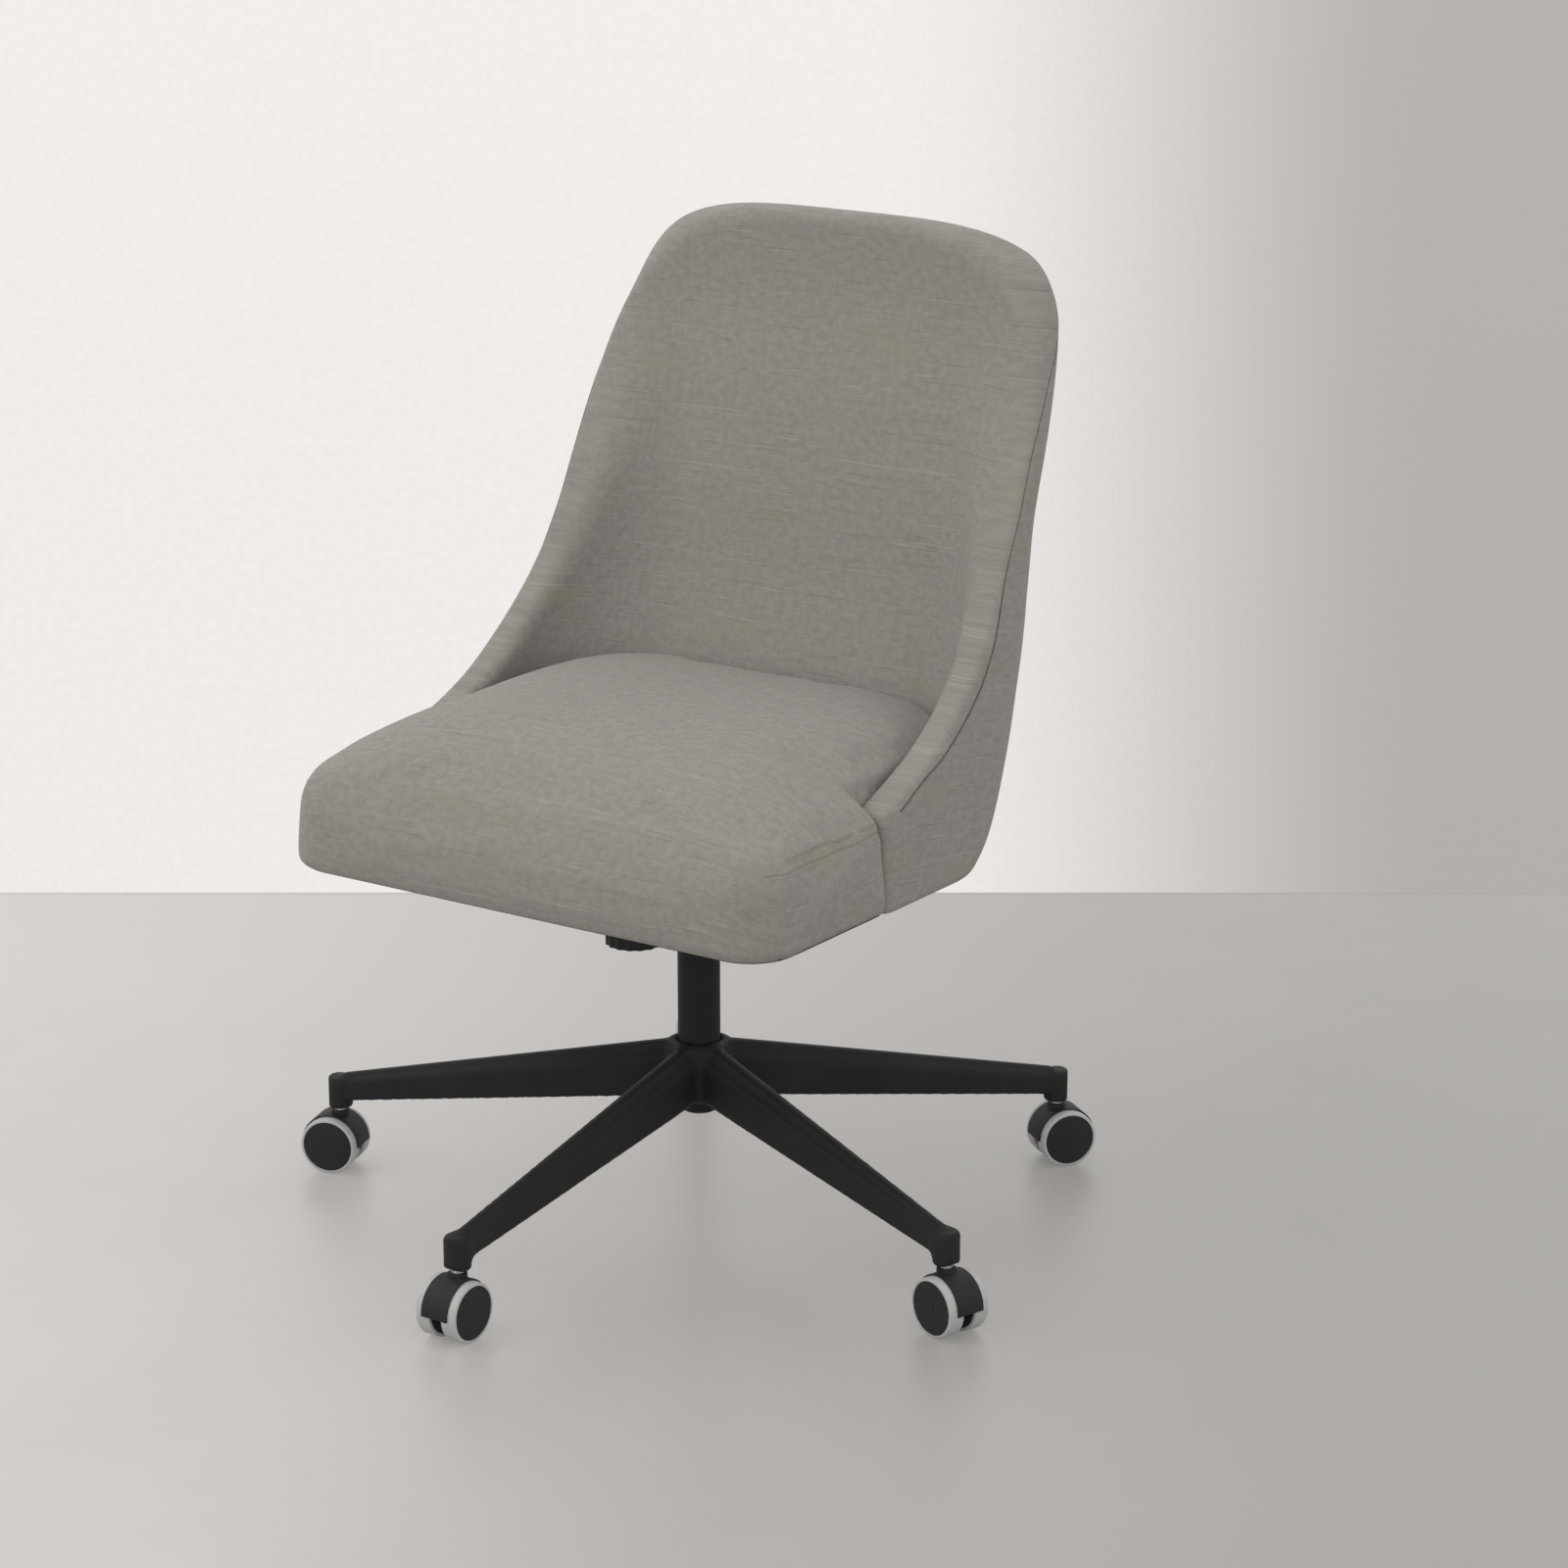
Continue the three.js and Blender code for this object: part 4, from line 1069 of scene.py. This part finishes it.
class CHAIR_OT_seat(bpy.types.Operator):
    """Upholstered seat: a crowned cushion blown up a little under its cloth, with side seams drawn as darker
    threads of painted shade
    """
    bl_idname = "chair.seat"
    bl_label = "Upholstered seat"

    def execute(self, context):
        sizes = context.scene.chair_sizes
        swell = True
        inset = CLOTH_ROOM if swell else 0.6
        field = seat_field(sizes, inset)
        step = sizes.cloth_mesh / MM
        rear = rear_at_heights.max() - sizes.back_thickness / MM
        low = (-HALF_WIDTH, SEAT_FRONT, SEAT_BOTTOM)
        high = (HALF_WIDTH, rear, SEAT_BOTTOM + (sizes.seat_side + sizes.crown) / MM)
        points, faces = net(field, low, high, step)
        points = evened(settle(field, points, 3, step / 2), faces, field, 3, step / 3)
        seat = object_of("seat_upholstery", points, faces)
        if swell:
            self.swell(context, seat, points, sizes)
        weave_on_seat(seat, sizes)
        wears(seat, finish("linen"))
        joins(seat, "seat", "seat_fabric", "seat_cushion")
        # the side seam lines are darker threads of painted shade
        for side, name in ((-1, "seat_seam_shade_right"), (1, "seat_seam_shade_left")):
            joins(wears(self.side_seam(sizes, seat, side, name), finish("pale_seam_shade")), "seat", "seat_fabric")
        return {"FINISHED"}

    def swell(self, context, seat, points, sizes):
        """Pressure under the cloth, with the stapled underside held still."""
        held = seat.vertex_groups.new(name="held")
        still = (points[:, 2] < SEAT_BOTTOM + 6) | (board_pocket(*points.T, sizes) < 2)
        held.add([int(i) for i in np.nonzero(still)[0]], 1.0, "REPLACE")
        only(seat)
        cloth = seat.modifiers.new("Cloth", "CLOTH")
        cloth.settings.quality = 4
        cloth.settings.mass = 0.3
        cloth.settings.tension_stiffness = 25
        cloth.settings.compression_stiffness = 25
        cloth.settings.shear_stiffness = 12
        cloth.settings.bending_stiffness = 2
        cloth.settings.use_pressure = True
        cloth.settings.uniform_pressure_force = 4
        cloth.settings.effector_weights.gravity = 0
        cloth.settings.vertex_group_mass = "held"
        for number in range(1, 21):
            context.scene.frame_set(number)
        bpy.ops.object.modifier_apply(modifier=cloth.name)
        context.scene.frame_set(1)
        move = points_of(seat) - points
        far = np.linalg.norm(move, axis=1)
        move *= np.minimum(1, CLOTH_REACH / np.maximum(far, 1e-9))[:, None]
        move_points(seat, points + move)
        seat.vertex_groups.clear()

    def side_seam(self, sizes, seat, side, name):
        """A darker thread of painted shade for the seam's groove, along the top of the side panel, fading out
        round the front corner.
        """
        height = SEAT_BOTTOM + sizes.seat_side / MM - 2
        corner = sizes.front_corner / MM
        stops = [(side * HALF_WIDTH, y, height) for y in (SLIT_Y - 6, -100, -130, -160, SEAT_FRONT + corner)]
        for degrees in (20, 40):
            angle = math.radians(degrees)
            stops.append((side * (HALF_WIDTH - corner + corner * math.cos(angle)),
                          SEAT_FRONT + corner - corner * math.sin(angle), height + degrees * 0.04))
        path = smooth_line(stops, 12)
        for i, spot in enumerate(placed(path)):
            found, touch, _, _ = seat.closest_point_on_mesh(spot)
            if not found:
                raise RuntimeError("the side seam misses the seat")
            path[i] = np.array(touch) / MM - (0, COLUMN_Y, 0)
        return thread(name, path, sizes.seam_thread / MM * 0.45)


class CHAIR_OT_base(bpy.types.Operator):
    """Star base: five ribbed legs, posts and hub in one powder-coated casting"""
    bl_idname = "chair.base"
    bl_label = "Star base"

    def execute(self, context):
        sizes = context.scene.chair_sizes
        field = casting_field(sizes)
        step = sizes.casting_mesh / MM
        reach = sizes.stem_circle / MM + POST_RADIUS

        def near(x, y, z):
            """Only round the legs and the hub."""
            turn = math.tau / 5
            angle = np.arctan2(y, x) + math.pi / 2
            local = angle - np.round(angle / turn) * turn
            radius = np.hypot(x, y)
            slope = (HUB_TOP - POST_TOP) / reach
            ridge = HUB_TOP - slope * radius
            close = np.abs(radius * np.sin(local)) < LEG_HUB_HALF + 6
            return ((radius < HUB_RADIUS + 14) | close) & (z < ridge + 12) & (radius < reach + 6)
        low = (-reach, -reach, POST_BOTTOM)
        high = (reach, reach, HUB_TOP)
        points, faces = net(field, low, high, step, near)
        points = evened(settle(field, points, 3, step / 2), faces, field, 2, step / 3)
        base = object_of("base_casting", points, faces)
        wears(base, finish("casting"))
        joins(base, "base", "base_casting", "star_base")
        return {"FINISHED"}


class CHAIR_OT_column(bpy.types.Operator):
    """Gas lift: outer tube with its ground stub, guide bush and dark-coated gas cylinder"""
    bl_idname = "chair.column"
    bl_label = "Gas lift column"

    def execute(self, context):
        wall = 2.5
        outer, stub = COLUMN_RADIUS, STUB_RADIUS
        inner, stub_inner = outer - wall, stub - wall
        taper_top = HUB_TOP - FIT_GAP
        centre = Matrix.Translation((0, COLUMN_Y * MM, 0))
        tube = turned("column_outer_tube", rounded([
            (stub_inner, TUBE_BOTTOM), (stub, TUBE_BOTTOM), (stub, HUB_BOTTOM), (outer, taper_top),
            (outer, TUBE_TOP), (inner, TUBE_TOP), (inner, taper_top), (stub_inner, HUB_BOTTOM),
            (stub_inner, TUBE_BOTTOM + 7), (5.5, TUBE_BOTTOM + 7), (5.5, TUBE_BOTTOM + 4),
            (stub_inner, TUBE_BOTTOM + 4)], {1: 1.0, 4: 1.0}), 72)
        wears(smooth_sides(moved(tube, centre)), finish("casting"))
        joins(tube, "base", "black_tube", "column_tube")
        low, high = span("guide_bush", 2)
        bush = turned("column_guide_bush", rounded([
            (13.3, low), (inner - FIT_GAP, low), (inner - FIT_GAP, TUBE_TOP + FIT_GAP),
            (outer - 0.5, TUBE_TOP + FIT_GAP), (outer - 0.5, high), (13.3, high)], {4: 0.5}), 72)
        wears(smooth_sides(moved(bush, centre)), finish("nylon"))
        joins(bush, "base", "black_plastic", "guide_bush")
        low, high = span("gas_cylinder", 2)
        cylinder = turned("column_gas_cylinder", rounded([
            (5.0, low), (13, low), (13, high), (4.3, high), (4.3, high - 12), (11.4, high - 12),
            (11.4, low + 1.6), (5.0, low + 1.6)], {1: 1.0, 2: 1.0}), 72)
        joins(wears(smooth_sides(moved(cylinder, centre)), finish("dark_steel")), "lift", "dark_steel",
              "gas_cylinder")
        return {"FINISHED"}


class CHAIR_OT_castors(bpy.types.Operator):
    """Castors: hood, twin wheels with flush faces and soft treads, five times"""
    bl_idname = "chair.castors"
    bl_label = "Castors"

    def execute(self, context):
        sizes = context.scene.chair_sizes
        wheel, half = sizes.wheel_radius / MM, sizes.castor_width / MM / 2
        inner, tread = 5.9, 2.7
        seat = wheel - tread
        face = turned("wheel_face", rounded([
            (0, half - 2.4), (3.3, half - 2.4), (3.3, inner), (seat - FIT_GAP, inner),
            (seat - FIT_GAP, half - 0.3), (0, half - 0.3)], {3: 0.5, 4: 0.7}), 64)
        band = turned("wheel_tread", rounded([
            (seat, inner), (wheel, inner), (wheel, half - 0.2), (seat, half - 0.2)], {1: 0.9, 2: 2.3}, 4), 72)
        for part in (face, band):
            smooth_sides(part, 40)
        hood = self.hood(wheel)
        reach = sizes.stem_circle / MM
        for number in range(1, 6):
            turn = math.radians(-90 + 72 * (number - 1))
            x, y = reach * math.cos(turn), reach * math.sin(turn) + COLUMN_Y
            stem = Matrix.Translation((x * MM, y * MM, 0))
            stand = stem @ Matrix.Rotation(turn, 4, "Z")
            cover = copy_of(hood, f"castor_hood_shell_{number}", stand)
            joins(wears(cover, finish("nylon")), f"castor_{number}", "black_plastic", f"castor_hood_{number}")
            for side, quarter in (("a", -90), ("b", 90)):
                axle = stand @ Matrix.Translation((CASTOR_TRAIL * MM, 0, wheel * MM))
                axle = axle @ Matrix.Rotation(math.radians(quarter), 4, "X")
                body = f"castor_{number}_wheel_{side}"
                disc = copy_of(face, f"castor_face_{number}{side}", axle)
                joins(wears(disc, finish("nylon")), body, "black_plastic", f"castor_wheel_{number}{side}")
                tyre = copy_of(band, f"castor_band_{number}{side}", axle)
                joins(wears(tyre, finish("tread")), body, "grey_tread", f"castor_tread_{number}{side}")
        for part in (face, band, hood):
            bpy.data.objects.remove(part)
        return {"FINISHED"}

    def hood(self, wheel):
        """A half drum over both wheels with a web between them, a neck on top and a hole for the axle."""
        outer, wall, width, web = wheel + 1.4, 1.0, 26.0, CASTOR_WEB
        neck_top = wheel + outer + 2.5
        across = Matrix.Translation((CASTOR_TRAIL * MM, 0, wheel * MM))
        across = across @ Matrix.Rotation(math.radians(-90), 4, "X")

        def make_room(part):
            """Takes the wheels' room away on both sides of the web."""
            for side in (-1, 1):
                low, high = sorted((side * web / 2, side * (width / 2 + 1)))
                outline = [(0, low), (outer - wall, low), (outer - wall, high), (0, high)]
                combine(part, moved(turned("room", outline, 72), across), "DIFFERENCE")
        drum = turned("hood", rounded([(0, -width / 2), (outer, -width / 2), (outer, width / 2),
                                       (0, width / 2)], {1: 0.5, 2: 0.5}), 72)
        moved(drum, across)
        make_room(drum)
        neck = turned("neck", rounded([(0, wheel + outer - 6), (8, wheel + outer - 6), (8, neck_top),
                                       (0, neck_top)], {2: 0.6}), 48)
        make_room(neck)
        below = block("below", (-60, -30, -20), (60, 30, wheel - 1))
        combine(drum, below, "DIFFERENCE")
        boss = turned("boss", [(0, -web / 2), (6, -web / 2), (6, web / 2), (0, web / 2)], 48)
        combine(drum, moved(boss, across), "UNION")
        combine(drum, neck, "UNION")
        axle_hole = turned("hole", [(0, -20), (AXLE_HOLE, -20), (AXLE_HOLE, 20), (0, 20)], 32)
        combine(drum, moved(axle_hole, across), "DIFFERENCE")
        stem_hole = turned("hole", [(0, neck_top - 18), (4.3, neck_top - 18), (4.3, neck_top + 5),
                                    (0, neck_top + 5)], 32)
        combine(drum, stem_hole, "DIFFERENCE")
        modify(drum, "BEVEL", width=0.3 * MM, segments=2, limit_method="ANGLE", angle_limit=math.radians(50))
        return smooth_sides(drum, 40)


class CHAIR_OT_mechanism(bpy.types.Operator):
    """Tilt mechanism: pressed housing and seat plate, knob, lever, bolts and the rest of the hardware"""
    bl_idname = "chair.mechanism"
    bl_label = "Tilt mechanism"

    def execute(self, context):
        for name, node, body, slot, kind, bevel in (
                ("mechanism_pressing", "mechanism_housing", "lift", "dark_steel", "dark_steel", 0.8),
                ("seat_plate_pressing", "seat_plate", "seat", "dark_steel", "dark_steel", 0.7),
                ("tension_knob_moulding", "tension_knob", "tension_knob", "black_plastic", "nylon", 0.7),
                ("lever_paddle", "lever_grip", "lever", "black_plastic", "nylon", 2.2),
                ("lever_bush_moulding", "lever_bush", "lever_bush", "black_plastic", "nylon", 0.5)):
            joins(wears(refined(name, node, bevel), finish(kind)), body, slot, node)
        spring = frame["nodes"]["tilt_spring"]
        coil = copy_of(spring, "tilt_spring_coil")
        coil.parent = None
        only(coil)
        bpy.ops.object.mode_set(mode="EDIT")
        bpy.ops.mesh.select_all(action="SELECT")
        bpy.ops.mesh.remove_doubles(threshold=1e-6)
        bpy.ops.object.mode_set(mode="OBJECT")
        modify(coil, "SUBSURF", levels=1, render_levels=1)
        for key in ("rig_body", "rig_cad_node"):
            if key in coil:
                del coil[key]
        joins(wears(smooth_sides(coil, 60), finish("steel")), "lift", "bright_steel", "tilt_spring")
        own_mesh(coil)
        bolt = self.bolt()
        for number, (x, y) in enumerate(((-70, -126), (70, -126), (-70, 28), (70, 28)), 1):
            spot = Matrix.Translation((x * MM, (y + COLUMN_Y) * MM, span("seat_plate", 2)[1] * MM - 3.3 * MM))
            joins(wears(copy_of(bolt, f"seat_bolt_{number}", spot), finish("steel")), "seat", "bright_steel")
        bpy.data.objects.remove(bolt)
        joins(wears(self.staples(), finish("steel")), "seat", "bright_steel")
        cloth = wears(refined("underside_cloth", "dust_cover", 0.2), finish("dust_cloth"))
        joins(cloth, "seat", "dust_cloth", "dust_cover")
        return {"FINISHED"}

    def bolt(self):
        """A hexagon head with a washer face, head down."""
        bpy.ops.object.select_all(action="DESELECT")
        bpy.ops.mesh.primitive_cylinder_add(vertices=6, radius=6.3 * MM, depth=4 * MM,
                                            location=(0, 0, -3.2 * MM))
        head = at_origin(bpy.context.object)
        modify(head, "BEVEL", width=0.6 * MM, segments=2)
        washer = turned("washer", rounded([(0, -1.2), (8, -1.2), (8, 0), (0, 0)], {1: 0.3}), 24)
        return smooth_sides(combine(washer, head, "UNION"), 30)

    def staples(self):
        """Staples through the dust cover, all round the seat's underside."""
        bpy.ops.object.select_all(action="DESELECT")
        crowns = []
        bpy.ops.mesh.primitive_cube_add(size=1)
        wire = bpy.context.object
        wire.scale = (10 * MM, 1.1 * MM, 0.5 * MM)
        at_origin(wire)
        modify(wire, "BEVEL", width=0.2 * MM, segments=1)
        inset = 18
        side, front = HALF_WIDTH - inset, SEAT_FRONT + inset
        spots = [(x, front, 0) for x in range(-170, 171, 34)]
        for across in (-1, 1):
            spots += [(across * side, y, 90) for y in range(-180, -80, 32)]
            spots += [(across * (side - 34), y, 90) for y in range(-50, 30, 32)]
        for number, (x, y, degrees) in enumerate(spots):
            lean = math.radians(degrees + 7 * math.sin(number * 2.3))
            spot = Matrix.Translation((x * MM, (y + COLUMN_Y) * MM, (SEAT_BOTTOM - 0.35) * MM))
            crowns.append(copy_of(wire, f"staple_{number}", spot @ Matrix.Rotation(lean, 4, "Z")))
        bpy.data.objects.remove(wire)
        bpy.ops.object.select_all(action="DESELECT")
        for crown in crowns:
            crown.select_set(True)
        bpy.context.view_layer.objects.active = crowns[0]
        bpy.ops.object.join()
        crowns[0].name = crowns[0].data.name = "dust_cover_staples"
        return crowns[0]


class CHAIR_OT_hardware(bpy.types.Operator):
    """Finishes for the frame's own pins, rods, rings, boards and stems"""
    bl_idname = "chair.hardware"
    bl_label = "Carried-over hardware"

    def execute(self, context):
        kinds = {"thrust_bearing": "steel", "retaining_clip": "steel", "piston_rod": "steel",
                 "valve_button": "steel", "tilt_pin": "steel", "lever_rod": "dark_steel",
                 "tension_bolt": "steel", "tension_washer": "steel", "seat_board": "plywood",
                 "castor_stem_": "steel", "castor_axle_": "steel"}
        for name, node in frame["nodes"].items():
            if node.hide_render:
                continue
            kind = kinds.get(name) or kinds.get(name.rstrip("12345"))
            if kind is None:
                raise RuntimeError(f"{name} has no finish")
            for held in node.material_slots:
                held.material = finish(kind)
        return {"FINISHED"}


class CHAIR_OT_stage(bpy.types.Operator):
    """Floor, soft lights and camera"""
    bl_idname = "chair.stage"
    bl_label = "Stage"

    def execute(self, context):
        colours = context.scene.chair_colours
        scene = context.scene
        azimuth = math.radians(AZIMUTH)
        way = Vector((-math.sin(azimuth), math.cos(azimuth)))
        bpy.ops.object.select_all(action="DESELECT")
        bpy.ops.mesh.primitive_grid_add(x_subdivisions=8, y_subdivisions=8, size=1)
        floor = context.object
        floor.name = floor.data.name = "floor"
        floor.scale = (24, 24, 1)
        at_origin(floor)
        wears(floor, room(colours, EYE, way, WALL_AHEAD))
        self.light("key_light", (-2.6, -2.0, 3.4), (0, 0, 0.45), 3.4, 40)
        self.light("fill_light", (2.8, -2.4, 2.2), (0, 0, 0.4), 3.0, 14)
        self.light("top_light", (-0.6, 0.6, 3.6), (0, 0, 0.4), 3.4, 4)
        world = bpy.data.worlds.new("soft_room")
        world.use_nodes = True
        backdrop = world.node_tree.nodes["Background"]
        backdrop.inputs["Color"].default_value = (1.0, 0.985, 0.97, 1)
        backdrop.inputs["Strength"].default_value = 1.0
        scene.world = world
        lens = bpy.data.cameras.new("camera")
        lens.lens = 97.74
        lens.sensor_width = 36
        lens.clip_end = 60
        camera = bpy.data.objects.new("camera", lens)
        scene.collection.objects.link(camera)
        camera.location = EYE
        camera.rotation_euler = (math.radians(90 - LOOK_DOWN), 0, azimuth)
        scene.camera = camera
        scene.view_settings.view_transform = "Standard"
        return {"FINISHED"}

    def light(self, name, spot, target, size, power):
        lamp = bpy.data.lights.new(name, "AREA")
        lamp.size = size
        lamp.energy = power
        lamp.color = (1.0, 0.985, 0.965)
        holder = bpy.data.objects.new(name, lamp)
        bpy.context.scene.collection.objects.link(holder)
        holder.location = spot
        holder.rotation_euler = (Vector(target) - Vector(spot)).to_track_quat("-Z", "Y").to_euler()


OPERATORS = (CHAIR_OT_shell, CHAIR_OT_seat, CHAIR_OT_base, CHAIR_OT_column, CHAIR_OT_castors,
             CHAIR_OT_mechanism, CHAIR_OT_hardware, CHAIR_OT_stage)


class CHAIR_PT_panel(bpy.types.Panel):
    """The chair's pieces, sizes and colours"""
    bl_idname = "CHAIR_PT_panel"
    bl_label = "Swivel chair"
    bl_space_type = "VIEW_3D"
    bl_region_type = "UI"
    bl_category = "Chair"

    def draw(self, context):
        for operator in OPERATORS:
            self.layout.operator(operator.bl_idname)
        for group in (context.scene.chair_sizes, context.scene.chair_colours):
            for name in group.__annotations__:
                self.layout.prop(group, name)


CLASSES = (ChairSizes, ChairColours, *OPERATORS, CHAIR_PT_panel)


def register():
    for kind in CLASSES:
        bpy.utils.register_class(kind)
    bpy.types.Scene.chair_sizes = bpy.props.PointerProperty(type=ChairSizes)
    bpy.types.Scene.chair_colours = bpy.props.PointerProperty(type=ChairColours)


def unregister():
    del bpy.types.Scene.chair_colours
    del bpy.types.Scene.chair_sizes
    for kind in reversed(CLASSES):
        bpy.utils.unregister_class(kind)


def main():
    register()
    bpy.ops.chair.shell()
    bpy.ops.chair.seat()
    bpy.ops.chair.base()
    bpy.ops.chair.column()
    bpy.ops.chair.castors()
    bpy.ops.chair.mechanism()
    bpy.ops.chair.hardware()
    bpy.ops.chair.stage()


if __name__ == "__main__":
    main()
